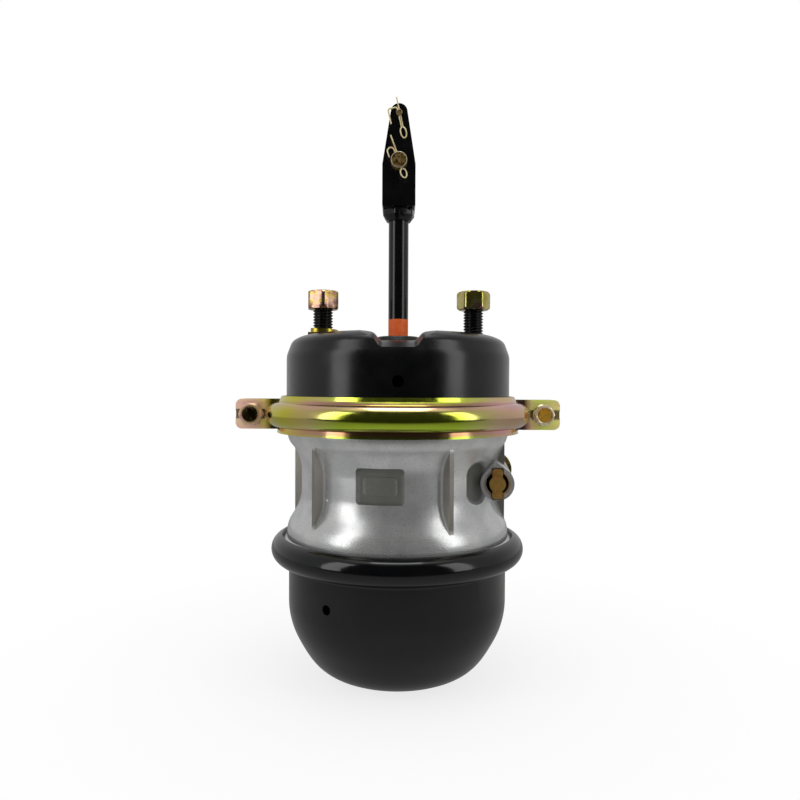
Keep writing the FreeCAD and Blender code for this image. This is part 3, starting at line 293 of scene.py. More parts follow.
nut_rose = yellow_zinc(
    "Yellow zinc on the left nut",
    [(0.30, "#7d5a4c"), (0.42, "#b08c7c"), (0.50, "#d0aa94"), (0.58, "#c2ab52"), (0.70, "#a8796a")],
    patch=6.0,
    roughness=0.20,
)
nut_zinc = yellow_zinc(
    "Yellow zinc on the nuts",
    [(0.30, "#a8a03c"), (0.44, "#bdb255"), (0.56, "#d3cb86"), (0.70, "#c39c84")],
    patch=9.0,
    roughness=0.20,
)
washer_zinc = yellow_zinc(
    "Yellow zinc on the washers",
    [(0.30, "#8d7a24"), (0.45, "#b3a13a"), (0.60, "#d0c04c"), (0.74, "#c79a6a")],
    patch=7.0,
    roughness=0.22,
)
bolt_end = yellow_zinc(
    "Dull zinc on the bolt ends",
    [(0.30, "#1c160c"), (0.50, "#2c2312"), (0.64, "#45381c"), (0.76, "#7a6a3c")],
    patch=2.2,
    roughness=0.42,
)
print("four zinc finishes made")

# %% [markdown]
# A thick film hides the metal. On the release bolt, the clamp bolts and the collars of the clamp nuts
# the film is heavy and chalky, so light scatters in it more than it is mirrored below it. A lower
# metallic value mixes some plain colour in, and keeps these parts bright where the room is dark.

# %% Thick yellow zinc
bolt_zinc = yellow_zinc(
    "Deep yellow zinc on the bolts",
    [(0.30, "#b8741a"), (0.45, "#cf9426"), (0.58, "#a98a2a"), (0.72, "#8a5f24")],
    patch=4.0,
    roughness=0.30,
    metallic=0.35,
)
rim_zinc = yellow_zinc(
    "Pale zinc on a bolt head's rim",
    [(0.30, "#c9a89a"), (0.50, "#e6d6bd"), (0.70, "#c8bb7a")],
    patch=4.0,
    roughness=0.22,
    metallic=0.6,
)
release_zinc = yellow_zinc(
    "Bronze zinc on the release bolt",
    [(0.30, "#9a6632"), (0.45, "#bb8a48"), (0.58, "#9c823c"), (0.72, "#c0956a")],
    patch=6.0,
    roughness=0.30,
    metallic=0.6,
)
collar_zinc = yellow_zinc(
    "Rose zinc on the clamp nuts",
    [(0.30, "#c29184"), (0.45, "#dcae9f"), (0.60, "#cbb078"), (0.74, "#e0bca8")],
    patch=6.0,
    roughness=0.24,
    metallic=0.4,
)
print("four thick zinc finishes made")

# %% [markdown]
# The clamp ring's plating. The film drains off a ring unevenly: it is thin and lime coloured at the
# front and thicker, gold and rose, towards the ears, and it changes across each lip and crease too. Two
# ramps draw that: this one runs up the ring's height, and the next runs from ear to ear. Up the height the
# bulge's lime is painted brighter than the film, a painted reflection of the bright floor, and the thin
# cream stripe under the rose is a painted highlight. A slow noise, stretched along the ring, makes every
# border waver.

# %% Clamp ring plating: up its height
ring_low, ring_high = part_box("clamp_ring_front")
ring_zinc, tree = empty_finish("Yellow zinc on the clamp ring")
place = add(tree, "ShaderNodeTexCoord").outputs["Object"]
spot = add(tree, "ShaderNodeSeparateXYZ", (place,)).outputs
drawn_out = add(tree, "ShaderNodeMapping", {"Vector": place, "Scale": (1, 1, 3)})
film = add(tree, "ShaderNodeTexNoise", {"Vector": drawn_out, "Scale": per_mm(45), "Detail": 2.0})
level = add(tree, "ShaderNodeMapRange", (spot["Z"], ring_low.z, ring_high.z, 0.0, 1.0))
sway = add(tree, "ShaderNodeMath", (film, 0.16, -0.08), operation="MULTIPLY_ADD")
level = add(tree, "ShaderNodeMath", (sway, level), operation="ADD")
# Painted light: the lime stops from 0.25 to 0.62 are a painted reflection of the floor, and the cream stop
# at 0.73 a painted highlight.
film_and_painted_light_up_ring = [
    (0.00, "#a2c42c"),
    (0.08, "#b0885a"),
    (0.17, "#b8886a"),
    (0.25, "#c0de46"),
    (0.45, "#b0c036"),
    (0.62, "#ccd650"),
    (0.73, "#dcbd8a"),
    (0.79, "#c2918a"),
    (0.84, "#bb8a80"),
    (0.90, "#e6f058"),
    (1.00, "#daec4e"),
]
stripes_and_painted_light = add(tree, "ShaderNodeValToRGB", (level,), stops=film_and_painted_light_up_ring)
print("the ring is", round(1000 * (ring_high.z - ring_low.z), 1), "mm high")

# %% [markdown]
# From ear to ear the rose and gold of the thick film come in over those stripes, in pale tints that are
# brighter than the film: a painted reflection of the lamps on the ears. The middle third keeps the
# stripes alone, since that is where the ramp of shares is black.

# %% Clamp ring plating: from ear to ear
ear_tip = 130 * mm
sway = add(tree, "ShaderNodeMath", (film, 0.02, -0.01), operation="MULTIPLY_ADD")
along = add(tree, "ShaderNodeMath", (spot["X"], sway), operation="ADD")
along = add(tree, "ShaderNodeMapRange", (along, -ear_tip, ear_tip, 0.0, 1.0))
# Painted reflection: these pale tints stand in for the lamps' reflections on the ears.
ear_tints_and_painted_reflection = [
    (0.00, "#f6cdbc"),
    (0.07, "#f2c8b4"),
    (0.12, "#d8c640"),
    (0.20, "#dccc3a"),
    (0.27, "#f4bcae"),
    (0.38, "#f6d2b4"),
    (0.66, "#f6d2b4"),
    (0.76, "#f0b6b8"),
    (0.88, "#dc9c98"),
    (0.93, "#cfe26a"),
    (1.00, "#e6d28c"),
]
away_from_middle = [
    (0.00, "#ffffff"),
    (0.22, "#e8e8e8"),
    (0.36, "#000000"),
    (0.66, "#000000"),
    (0.76, "#e0e0e0"),
    (1.00, "#ffffff"),
]
ears_film_and_painted_reflection = add(tree, "ShaderNodeValToRGB", (along,), stops=ear_tints_and_painted_reflection)
share = add(tree, "ShaderNodeValToRGB", (along,), stops=away_from_middle)
share = add(tree, "ShaderNodeMath", (share, 0.85), operation="MULTIPLY")
coat = add(tree, "ShaderNodeMix", {0: share, 6: stripes_and_painted_light, 7: ears_film_and_painted_reflection}, data_type="RGBA")
print("the plating has", len(film_and_painted_light_up_ring) + len(ear_tints_and_painted_reflection), "tints")

# %% [markdown]
# The channel that is pressed along each ear is painted dark brown, a painted shade in the groove. The
# ears hardly mirror, so their pale tints show as the painted reflection of the lamps. The channel is
# found by its height and by its distance from the middle of the ring.

# %% Clamp ring plating: the ears' channels
channel_height = 206.6 * mm
ears_begin = 104 * mm
outwards = add(tree, "ShaderNodeMath", (spot["X"],), operation="ABSOLUTE")
off_channel = add(tree, "ShaderNodeMath", (spot["Z"], channel_height), operation="SUBTRACT")
off_channel = add(tree, "ShaderNodeMath", (off_channel,), operation="ABSOLUTE")
# Painted shade: the pressed channel along each ear is darkened brown.
in_channel = add(tree, "ShaderNodeMapRange", (off_channel, 3.4 * mm, 4.2 * mm, 0.85, 0.0))
on_ear = add(tree, "ShaderNodeMapRange", (outwards, ears_begin, ears_begin + 2 * mm, 0.0, 1.0))
channel_painted_shade = add(tree, "ShaderNodeMath", (in_channel, on_ear), operation="MULTIPLY")
handled = add(tree, "ShaderNodeTexNoise", {"Vector": place, "Scale": per_mm(6), "Detail": 3.0})
rolled = add(tree, "ShaderNodeTexNoise", {"Vector": place, "Scale": per_mm(2.6), "Detail": 2.0})
skin_of_ring = {
    "Base Color": add(tree, "ShaderNodeMix", {0: channel_painted_shade, 6: coat, 7: "#4b371c"}, data_type="RGBA"),
    "Metallic": add(tree, "ShaderNodeMapRange", (outwards, 100 * mm, 106 * mm, 1.0, 0.05)),
    "Roughness": add(tree, "ShaderNodeMapRange", (handled, 0.35, 0.65, 0.12, 0.18)),
    "Normal": add(tree, "ShaderNodeBump", {"Height": rolled, "Distance": 0.010 * mm}),
}
shader = add(tree, "ShaderNodeBsdfPrincipled", skin_of_ring)
add(tree, "ShaderNodeOutputMaterial", (shader,))
print("ring plating has", len(tree.nodes), "nodes")

# %% [markdown]
# The small finishes. Black oxide on the studs is a thin oil blackened skin. The orange stroke band is
# brushed on by hand, so it is matt and a little uneven. The cotters are pale drawn wire. All have the
# same make-up, two close colours in patches over a fine bump, so one function makes them.

# %% Small finishes
def plain_finish(name, colours, metallic, roughness, patch, bump_size, bump_depth):
    """Two close colours in patches. Patch, bump_size and bump_depth are millimetres."""
    material, tree = empty_finish(name)
    place = add(tree, "ShaderNodeTexCoord").outputs["Object"]
    clouds = add(tree, "ShaderNodeTexNoise", {"Vector": place, "Scale": per_mm(patch), "Detail": 3.0})
    clouds = add(tree, "ShaderNodeMapRange", (clouds, 0.35, 0.65, 0.0, 1.0))
    first, second = colours
    wear = add(tree, "ShaderNodeTexNoise", {"Vector": place, "Scale": per_mm(0.7 * patch), "Detail": 3.0})
    bumps = add(tree, "ShaderNodeTexNoise", {"Vector": place, "Scale": per_mm(bump_size), "Detail": 2.0})
    skin_of_part = {
        "Base Color": add(tree, "ShaderNodeMix", {0: clouds, 6: first, 7: second}, data_type="RGBA"),
        "Metallic": metallic,
        "Roughness": add(tree, "ShaderNodeMapRange", (wear, 0.3, 0.7, roughness - 0.05, roughness + 0.05)),
        "Normal": add(tree, "ShaderNodeBump", {"Height": bumps, "Distance": bump_depth * mm}),
    }
    shader = add(tree, "ShaderNodeBsdfPrincipled", skin_of_part)
    add(tree, "ShaderNodeOutputMaterial", (shader,))
    return material


stud_oxide = plain_finish(
    "Black oxide on rolled thread", ("#050506", "#0b0b0c"),
    metallic=0.0, roughness=0.28, patch=3.0, bump_size=0.8, bump_depth=0.01,
)
band_paint = plain_finish(
    "Orange brushed paint", ("#e25a0a", "#ec6c1c"),
    metallic=0.0, roughness=0.50, patch=5.0, bump_size=1.2, bump_depth=0.03,
)
cotter_wire = plain_finish(
    "Drawn cotter wire", ("#cdb987", "#e6dab0"),
    metallic=0.25, roughness=0.34, patch=6.0, bump_size=3.0, bump_depth=0.002,
)
print("three small finishes of the outside made")

# %% [markdown]
# The parts inside show when the chamber is taken apart: a bush of porous bronze, a turned rod, pressed
# plates, coated springs, and rubber seals and plug. Bare metals mirror fully, and rubber not at all.

# %% Small finishes of the inside
bronze = plain_finish(
    "Sintered bronze", ("#9a6a3a", "#b07d4a"),
    metallic=1.0, roughness=0.42, patch=4.0, bump_size=0.7, bump_depth=0.02,
)
bright_steel = plain_finish(
    "Turned bright steel", ("#b7babc", "#cfd1d2"),
    metallic=1.0, roughness=0.28, patch=9.0, bump_size=0.6, bump_depth=0.01,
)
pressed_steel = plain_finish(
    "Pressed steel", ("#8d9092", "#a5a7a8"),
    metallic=1.0, roughness=0.40, patch=12.0, bump_size=1.5, bump_depth=0.02,
)
spring_steel = plain_finish(
    "Coated spring steel", ("#20221f", "#2b2d2a"),
    metallic=0.2, roughness=0.45, patch=10.0, bump_size=1.2, bump_depth=0.02,
)
seal_rubber = plain_finish(
    "Moulded seal rubber", ("#101010", "#181818"),
    metallic=0.0, roughness=0.60, patch=3.0, bump_size=0.6, bump_depth=0.01,
)
plug_rubber = plain_finish(
    "Moulded plug rubber", ("#131313", "#1c1c1c"),
    metallic=0.0, roughness=0.62, patch=6.0, bump_size=1.1, bump_depth=0.02,
)
print("six finishes of the inside made")

# %% [markdown]
# The two pins of the clevis. Their ends show the turned face of the bar: dark brassy plating in the
# middle, worn speckled, and a bright ring where the edge was broken in the lathe. The ring is drawn by
# the distance from the pin's own axis.

# %% Pin finish
def pin_finish(name, node, radius):
    """Brassy plating with a bright edge on the end of the pin whose radius in metres is given."""
    material, tree = empty_finish(name)
    low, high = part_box(node)
    centre = ((low.x + high.x) / 2, 0, (low.z + high.z) / 2)
    place = add(tree, "ShaderNodeTexCoord").outputs["Object"]
    spot = add(tree, "ShaderNodeSeparateXYZ", (place,)).outputs
    off_axis = add(tree, "ShaderNodeVectorMath", (place, centre), operation="SUBTRACT")
    off_axis = add(tree, "ShaderNodeVectorMath", (off_axis, (1, 0, 1)), operation="MULTIPLY")
    off_axis = add(tree, "ShaderNodeVectorMath", (off_axis,), operation="LENGTH")
    edge = add(tree, "ShaderNodeMapRange", (off_axis, 0.88 * radius, 0.93 * radius, 0.0, 0.8))
    on_end = add(tree, "ShaderNodeMapRange", (spot["Y"], low.y + 0.6 * mm, low.y + 1.0 * mm, 1.0, 0.0))
    edge = add(tree, "ShaderNodeMath", (edge, on_end), operation="MULTIPLY")
    speckle = add(tree, "ShaderNodeTexNoise", {"Vector": place, "Scale": per_mm(2), "Detail": 3.0})
    worn_brass = [(0.38, "#3a2a12"), (0.5, "#7a5f2c"), (0.62, "#a98f5c")]
    worn = add(tree, "ShaderNodeValToRGB", (speckle,), stops=worn_brass)
    coat = add(tree, "ShaderNodeMix", {0: on_end, 6: "#96794a", 7: worn}, data_type="RGBA")
    turned = add(tree, "ShaderNodeTexNoise", {"Vector": place, "Scale": per_mm(1), "Detail": 2.0})
    skin_of_pin = {
        "Base Color": add(tree, "ShaderNodeMix", {0: edge, 6: coat, 7: "#c4bca6"}, data_type="RGBA"),
        "Metallic": 0.7,
        "Roughness": 0.32,
        "Normal": add(tree, "ShaderNodeBump", {"Height": turned, "Distance": 0.01 * mm}),
    }
    shader = add(tree, "ShaderNodeBsdfPrincipled", skin_of_pin)
    add(tree, "ShaderNodeOutputMaterial", (shader,))
    return material


clevis_pin_brass = pin_finish("Brassy zinc on the clevis pin", "clevis_pin", 6.35 * mm)
link_pin_brass = pin_finish("Brassy zinc on the link pin", "link_pin", 2.4 * mm)
print("two pin finishes made")

# %% [markdown]
# The diaphragms are rubber on woven nylon. The cloth's threads print through the thin rubber skin, so
# two crossed wave textures make a faint weave in the bump. Real threads are about a millimetre apart,
# and these are drawn 3 mm apart, so that the weave shows from a distance. A wave texture of scale 1 has
# 20 over tau bands in a metre, which its own scale takes into account.

# %% Diaphragm rubber
thread_spacing = 3.0
diaphragm_rubber, tree = empty_finish("Rubber on woven nylon")
place = add(tree, "ShaderNodeTexCoord").outputs["Object"]
wave = {"Vector": place, "Scale": per_mm(thread_spacing) * math.tau / 20}
warp = add(tree, "ShaderNodeTexWave", wave, bands_direction="X").outputs["Fac"]
weft = add(tree, "ShaderNodeTexWave", wave, bands_direction="Y").outputs["Fac"]
cloth = add(tree, "ShaderNodeMath", (warp, weft), operation="MULTIPLY")
clouds = add(tree, "ShaderNodeTexNoise", {"Vector": place, "Scale": per_mm(20), "Detail": 2.0})
skin_of_rubber = {
    "Base Color": add(tree, "ShaderNodeMix", {0: clouds, 6: "#141414", 7: "#1f1e1d"}, data_type="RGBA"),
    "Roughness": add(tree, "ShaderNodeMapRange", (cloth, 0.0, 1.0, 0.62, 0.52)),
    "Normal": add(tree, "ShaderNodeBump", {"Height": cloth, "Distance": 0.05 * mm}),
}
shader = add(tree, "ShaderNodeBsdfPrincipled", skin_of_rubber)
add(tree, "ShaderNodeOutputMaterial", (shader,))
print("weave of", thread_spacing, "mm made")

# %% [markdown]
# Each CAD node keeps its own mesh, which is never moved or changed, and gets its finish through its
# material slots. One table says which finish belongs to which part, so it doubles as a parts list.

# %% Finish of each part
finishes = {
    "spring_housing": can_paint,
    "service_housing": can_paint,
    "flange_case": cast_aluminium,
    "clamp_ring_front": ring_zinc,
    "clamp_ring_rear": ring_zinc,
    "clamp_bolts": bolt_zinc,
    "clamp_nuts": collar_zinc,
    "mounting_stud_left": stud_oxide,
    "mounting_stud_right": stud_oxide,
    "stud_nut_left": nut_rose,
    "stud_nut_right": nut_zinc,
    "lock_washer": washer_zinc,
    "push_rod": rod_paint,
    "stroke_band": band_paint,
    "lock_nut": yoke_paint,
    "clevis_yoke": yoke_paint,
    "clevis_pin": clevis_pin_brass,
    "link_pin": link_pin_brass,
    "clevis_cotter": cotter_wire,
    "link_cotter": cotter_wire,
    "release_bolt": release_zinc,
    "release_nut": nut_zinc,
    "release_washer": washer_zinc,
    "dust_plug": plug_rubber,
    "rod_bush": bronze,
    "rod_seals": seal_rubber,
    "rod_guide": seal_rubber,
    "transfer_rod": bright_steel,
    "transfer_head": bright_steel,
    "push_plate": pressed_steel,
    "pressure_plate": cast_aluminium,
    "power_spring": spring_steel,
    "return_spring": spring_steel,
    "spring_diaphragm": diaphragm_rubber,
    "service_diaphragm": diaphragm_rubber,
}
for name, node in nodes.items():
    for each_slot in node.material_slots:
        each_slot.material = finishes[name]
print(len(nodes), "nodes dressed with", len(set(finishes.values())), "finishes")

# %% [markdown]
# A rolled thread is a ridge that climbs one pitch each turn. A modelled helix would be slow, but the
# same shape follows a rule: the radius at a point depends only on its height and its angle. So a flat
# grid is wrapped into a tube with Geometry Nodes, and a triangle wave of height minus angle pushes it
# out to the crest and in to the root. The first and last rows close to the axis, and a chamfer thins
# both ends.

# %% The threaded rod as a node tree
threaded_rod = bpy.data.node_groups.new("Threaded rod", "GeometryNodeTree")
for name, kind, value in (
    ("Crest radius", "NodeSocketFloat", 8 * mm),
    ("Root radius", "NodeSocketFloat", 7 * mm),
    ("Pitch", "NodeSocketFloat", 2 * mm),
    ("Bottom", "NodeSocketFloat", 0.0),
    ("Top", "NodeSocketFloat", 50 * mm),
    ("Chamfer", "NodeSocketFloat", 1 * mm),
    ("Around", "NodeSocketInt", 48),
    ("Rows", "NodeSocketInt", 200),
):
    socket = threaded_rod.interface.new_socket(name, in_out="INPUT", socket_type=kind)
    socket.default_value = value
threaded_rod.interface.new_socket("Finish", in_out="INPUT", socket_type="NodeSocketMaterial")
threaded_rod.interface.new_socket("Rod", in_out="OUTPUT", socket_type="NodeSocketGeometry")
size_of = add(threaded_rod, "NodeGroupInput").outputs
print("the thread takes", len(size_of) - 1, "inputs")

# %% [markdown]
# The grid. It is one by one, and centred, so its X plus a half is the turn round the rod, and its Y plus
# a half is the way up. The way up is spread a little wider than the rod and then clamped, so that the
# first two rows lie at the bottom and the last two at the top. The outer one of each pair is there to
# close the end.

# %% Height and angle of each point
tree = threaded_rod
grid_sizes = {"Size X": 1.0, "Size Y": 1.0, "Vertices X": size_of["Around"], "Vertices Y": size_of["Rows"]}
sheet = add(tree, "GeometryNodeMeshGrid", grid_sizes)
flat = add(tree, "GeometryNodeInputPosition")
flat = add(tree, "ShaderNodeSeparateXYZ", (flat,)).outputs
turn = add(tree, "ShaderNodeMath", (flat["X"], 0.5), operation="ADD")
way_up = add(tree, "ShaderNodeMath", (flat["Y"], 0.5), operation="ADD")
rod_length = add(tree, "ShaderNodeMath", (size_of["Top"], size_of["Bottom"]), operation="SUBTRACT")
gaps = add(tree, "ShaderNodeMath", (size_of["Rows"], 3.0), operation="SUBTRACT")
gap = add(tree, "ShaderNodeMath", (1.0, gaps), operation="DIVIDE")
spread = add(tree, "ShaderNodeMath", (gap, 2.0, 1.0), operation="MULTIPLY_ADD")
row = add(tree, "ShaderNodeMath", (way_up, spread), operation="MULTIPLY")
row = add(tree, "ShaderNodeMath", (row, gap), operation="SUBTRACT")
row = add(tree, "ShaderNodeClamp", (row,))
height = add(tree, "ShaderNodeMath", (row, rod_length, size_of["Bottom"]), operation="MULTIPLY_ADD")
print("grid and heights ready")

# %% [markdown]
# The ridge. Height over pitch, less the turn, counts threads, and its fraction runs from one root to
# the next. Folded, it makes a triangle, and scaling that a little past its ends flattens crest and root,
# as the rolls do.

# %% Radius of each point
climb = add(tree, "ShaderNodeMath", (height, size_of["Pitch"]), operation="DIVIDE")
climb = add(tree, "ShaderNodeMath", (climb, turn), operation="SUBTRACT")
phase = add(tree, "ShaderNodeMath", (climb,), operation="FRACT")
ridge = add(tree, "ShaderNodeMath", (phase, 2.0, -1.0), operation="MULTIPLY_ADD")
ridge = add(tree, "ShaderNodeMath", (ridge,), operation="ABSOLUTE")
ridge = add(tree, "ShaderNodeMath", (1.0, ridge), operation="SUBTRACT")
ridge = add(tree, "ShaderNodeMath", (ridge, 1.35, -0.14), operation="MULTIPLY_ADD")
ridge = add(tree, "ShaderNodeClamp", (ridge,))
deep = add(tree, "ShaderNodeMath", (size_of["Crest radius"], size_of["Root radius"]), operation="SUBTRACT")
radius = add(tree, "ShaderNodeMath", (ridge, deep, size_of["Root radius"]), operation="MULTIPLY_ADD")
to_top = add(tree, "ShaderNodeMath", (1.0, row), operation="SUBTRACT")
from_end = add(tree, "ShaderNodeMath", (row, to_top), operation="MINIMUM")
from_end = add(tree, "ShaderNodeMath", (from_end, rod_length), operation="MULTIPLY")
thinned = add(tree, "ShaderNodeMath", (size_of["Crest radius"], size_of["Chamfer"]), operation="SUBTRACT")
thinned = add(tree, "ShaderNodeMath", (thinned, from_end), operation="ADD")
radius = add(tree, "ShaderNodeMath", (radius, thinned), operation="MINIMUM")
off_middle = add(tree, "ShaderNodeMath", (flat["Y"],), operation="ABSOLUTE")
not_an_end = add(tree, "ShaderNodeMath", (off_middle, 0.49999), operation="LESS_THAN")
radius = add(tree, "ShaderNodeMath", (radius, not_an_end), operation="MULTIPLY")
print("thread profile ready")

# %% [markdown]
# The wrap. Turn and radius place each point round the axis, and the seam of the tube is merged. The tree
# ends in Realize Instances and Set Material, as the export keeps real faces only.

# %% Wrap the grid
angle = add(tree, "ShaderNodeMath", (turn, math.tau), operation="MULTIPLY")
cosine = add(tree, "ShaderNodeMath", (angle,), operation="COSINE")
sine = add(tree, "ShaderNodeMath", (angle,), operation="SINE")
across = add(tree, "ShaderNodeMath", (radius, cosine), operation="MULTIPLY")
inwards = add(tree, "ShaderNodeMath", (radius, sine), operation="MULTIPLY")
wrapped = add(tree, "ShaderNodeCombineXYZ", (across, inwards, height))
rod = add(tree, "GeometryNodeSetPosition", {"Geometry": sheet, "Position": wrapped})
rod = add(tree, "GeometryNodeMergeByDistance", {"Geometry": rod, "Distance": 0.001 * mm})
rod = add(tree, "GeometryNodeRealizeInstances", {"Geometry": rod})
rod = add(tree, "GeometryNodeSetMaterial", {"Geometry": rod, "Material": size_of["Finish"]})
add(tree, "NodeGroupOutput", {"Rod": rod})
print("thread tree has", len(tree.nodes), "nodes")

# %% [markdown]
# From a tree to a mesh. The export wants plain meshes, so a tree runs once on an empty carrier, and its
# result is kept as an object of its own. The place of a piece goes into its mesh, because every object
# stays at the origin. A second helper joins loose corners and picks which edges look sharp.

# %% Bake a tree into a plain mesh
def placed(name, mesh):
    """An object in the scene that shows this mesh, at the origin."""
    piece = bpy.data.objects.new(name, mesh)
    bpy.context.scene.collection.objects.link(piece)
    return piece


def grown(name, tree, values, place):
    """Runs a geometry node tree with these inputs and keeps its result as a plain mesh object."""
    carrier = placed(name, bpy.data.meshes.new(name + " carrier"))
    modifier = carrier.modifiers.new("Tree", "NODES")
    modifier.node_group = tree
    for item in tree.interface.items_tree:
        if item.in_out == "INPUT" and item.name in values:
            modifier[item.identifier] = values[item.name]
    bpy.context.view_layer.update()
    result = carrier.evaluated_get(bpy.context.evaluated_depsgraph_get())
    mesh = bpy.data.meshes.new_from_object(result)
    bpy.data.objects.remove(carrier)
    mesh.transform(place)
    return placed(name, mesh)


def smoothed(piece, degrees):
    """Joins a piece's loose corners and shades it smooth, but for edges sharper than this."""
    shape = bmesh.new()
    shape.from_mesh(piece.data)
    bmesh.ops.remove_doubles(shape, verts=shape.verts, dist=0.002 * mm)
    bmesh.ops.recalc_face_normals(shape, faces=shape.faces)
    for face in shape.faces:
        face.smooth = True
    for edge in shape.edges:
        edge.smooth = edge.calc_face_angle(0.0) < math.radians(degrees)
    shape.to_mesh(piece.data)
    shape.free()
    return piece


def joined_to(piece, rider, node):
    """Parents a piece to the empty of the body that it rides, and hides the CAD node that it stands in for.
    """
    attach(piece, rider)
    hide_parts(node)


print("mesh helpers ready")

# %% [markdown]
# The spring can's bottom corner. A deep drawn can is fuller at its corner than a plain round, since the
# sheet is drawn over a punch of a tighter radius there. A merged copy of the can takes that form: each
# point near the corner moves outwards by up to 3 mm, most in the middle of the corner and none at its
# ends. Both skins move alike, so the wall keeps its thickness, and the rest of the can stays as it is.

# %% Fuller corner
corner_height = 45 * mm
corner_start = 35
corner_end = 81
fullest = 3 * mm
corner_middle = (corner_start + corner_end) / 2
corner_half = (corner_end - corner_start) / 2

shape = bmesh.new()
shape.from_mesh(nodes["spring_housing"].data)
bmesh.ops.remove_doubles(shape, verts=shape.verts, dist=0.002 * mm)
moved = 0
for point in shape.verts:
    out = math.hypot(point.co.x, point.co.y)
    lean = math.degrees(math.atan2(out, corner_height - point.co.z))
    if corner_start < lean < corner_end:
        push = fullest * math.cos(math.radians(90 * (lean - corner_middle) / corner_half)) ** 2
        sideways = push * math.sin(math.radians(lean)) / out
        down = push * math.cos(math.radians(lean))
        point.co += Vector((point.co.x * sideways, point.co.y * sideways, -down))
        moved += 1
can_mesh = bpy.data.meshes.new("fuller can")
shape.to_mesh(can_mesh)
shape.free()
can_mesh.materials.append(can_paint)
full_can = smoothed(placed("spring_can_drawn", can_mesh), 35)
joined_to(full_can, "chamber", "spring_housing")
can_foot = min(point.co.z for point in can_mesh.vertices)
print("spring can:", moved, "points moved, lowest", round(1000 * can_foot, 2), "mm")

# %% [markdown]
# The two mounting studs. They are 5/8 inch studs, eleven threads to the inch, so the pitch is 2.31 mm
# and the thread's teeth show against the white background. Each keeps the plain head that is welded
# inside the housing, out of sight, as the CAD solid has it.

# %% Threaded studs
stud_spacing = 120.65 * mm
stud_head_height = 6 * mm
stud_head_radius = 8.6 * mm
for side, sign in (("left", -1), ("right", 1)):
    node = "mounting_stud_" + side
    low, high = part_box(node)
    axis_x = sign * stud_spacing / 2
    sizes = {
        "Crest radius": 7.94 * mm,
        "Root radius": 6.72 * mm,
        "Pitch": 25.4 * mm / 11,
        "Bottom": low.z + stud_head_height,
        "Top": high.z,
        "Chamfer": 1.1 * mm,
        "Around": 49,
        "Rows": 260,
        "Finish": stud_oxide,
    }
    to_axis = Matrix.Translation((axis_x, 0, 0))
    shank = smoothed(grown("stud_thread_" + side, threaded_rod, sizes, to_axis), 50)
    to_head = Matrix.Translation((axis_x, 0, low.z + stud_head_height / 2))
    shape = bmesh.new()
    bmesh.ops.create_cone(
        shape,
        cap_ends=True,
        segments=48,
        radius1=stud_head_radius,
        radius2=stud_head_radius,
        depth=stud_head_height,
        matrix=to_head,
    )
    head_mesh = bpy.data.meshes.new("stud head")
    shape.to_mesh(head_mesh)
    shape.free()
    head_mesh.materials.append(stud_oxide)
    for piece in (shank, placed("stud_head_" + side, head_mesh)):
        joined_to(piece, "chamber", node)
    print(node, "remade with", len(shank.data.polygons), "faces")

# %% [markdown]
# Hexagons. A forged hexagon is round at its chamfer and flat at its sides, so each of its rows is a ring
# of points whose radius is the smaller of two: the circle of the chamfer, and the distance to the flats.
# Where the flats are given wide enough, only the circle counts, and the row is round. Rows that turn
# back inwards make the raised rim and the shallow dish of a bolt's head.

# %% Hexagons made of rows
def hexagon(name, rows, finishes_of_piece, place, rim=()):
    """A closed hexagonal piece from rows of (height, circle radius, distance across flats) in mm.

    The bands between rows whose numbers are in rim take the second finish.
    """
    around = 96
    shape = bmesh.new()
    rings = []
    for height, round_radius, flats in rows:
        ring = []
        for step in range(around):
            angle = math.tau * step / around
            off_flat = (angle + math.pi / 6) % (math.pi / 3) - math.pi / 6
            radius = mm * min(round_radius, flats / 2 / math.cos(off_flat))
            ring.append(shape.verts.new((radius * math.cos(angle), radius * math.sin(angle), mm * height)))
        rings.append(ring)
    for band, (lower, upper) in enumerate(zip(rings, rings[1:])):
        for step in range(around):
            after = (step + 1) % around
            face = shape.faces.new((lower[step], lower[after], upper[after], upper[step]))
            face.material_index = 1 if band in rim else 0
    shape.faces.new(reversed(rings[0]))
    shape.faces.new(rings[-1])
    bmesh.ops.transform(shape, matrix=place, verts=shape.verts)
    mesh = bpy.data.meshes.new(name)
    shape.to_mesh(mesh)
    shape.free()
    for each in finishes_of_piece:
        mesh.materials.append(each)
    return smoothed(placed(name, mesh), 32)


print("hexagons ready")

# %% [markdown]
# The clamp bolts and nuts. A bolt runs through each pair of ears, its head at the front on the right
# and at the back on the left. The heads have a pressed flange, a chamfered hexagon and a dish with a
# bright rim. The nuts are domed, and the end of each bolt stands out of its nut, dull and threaded.
# First come their rows and sizes.

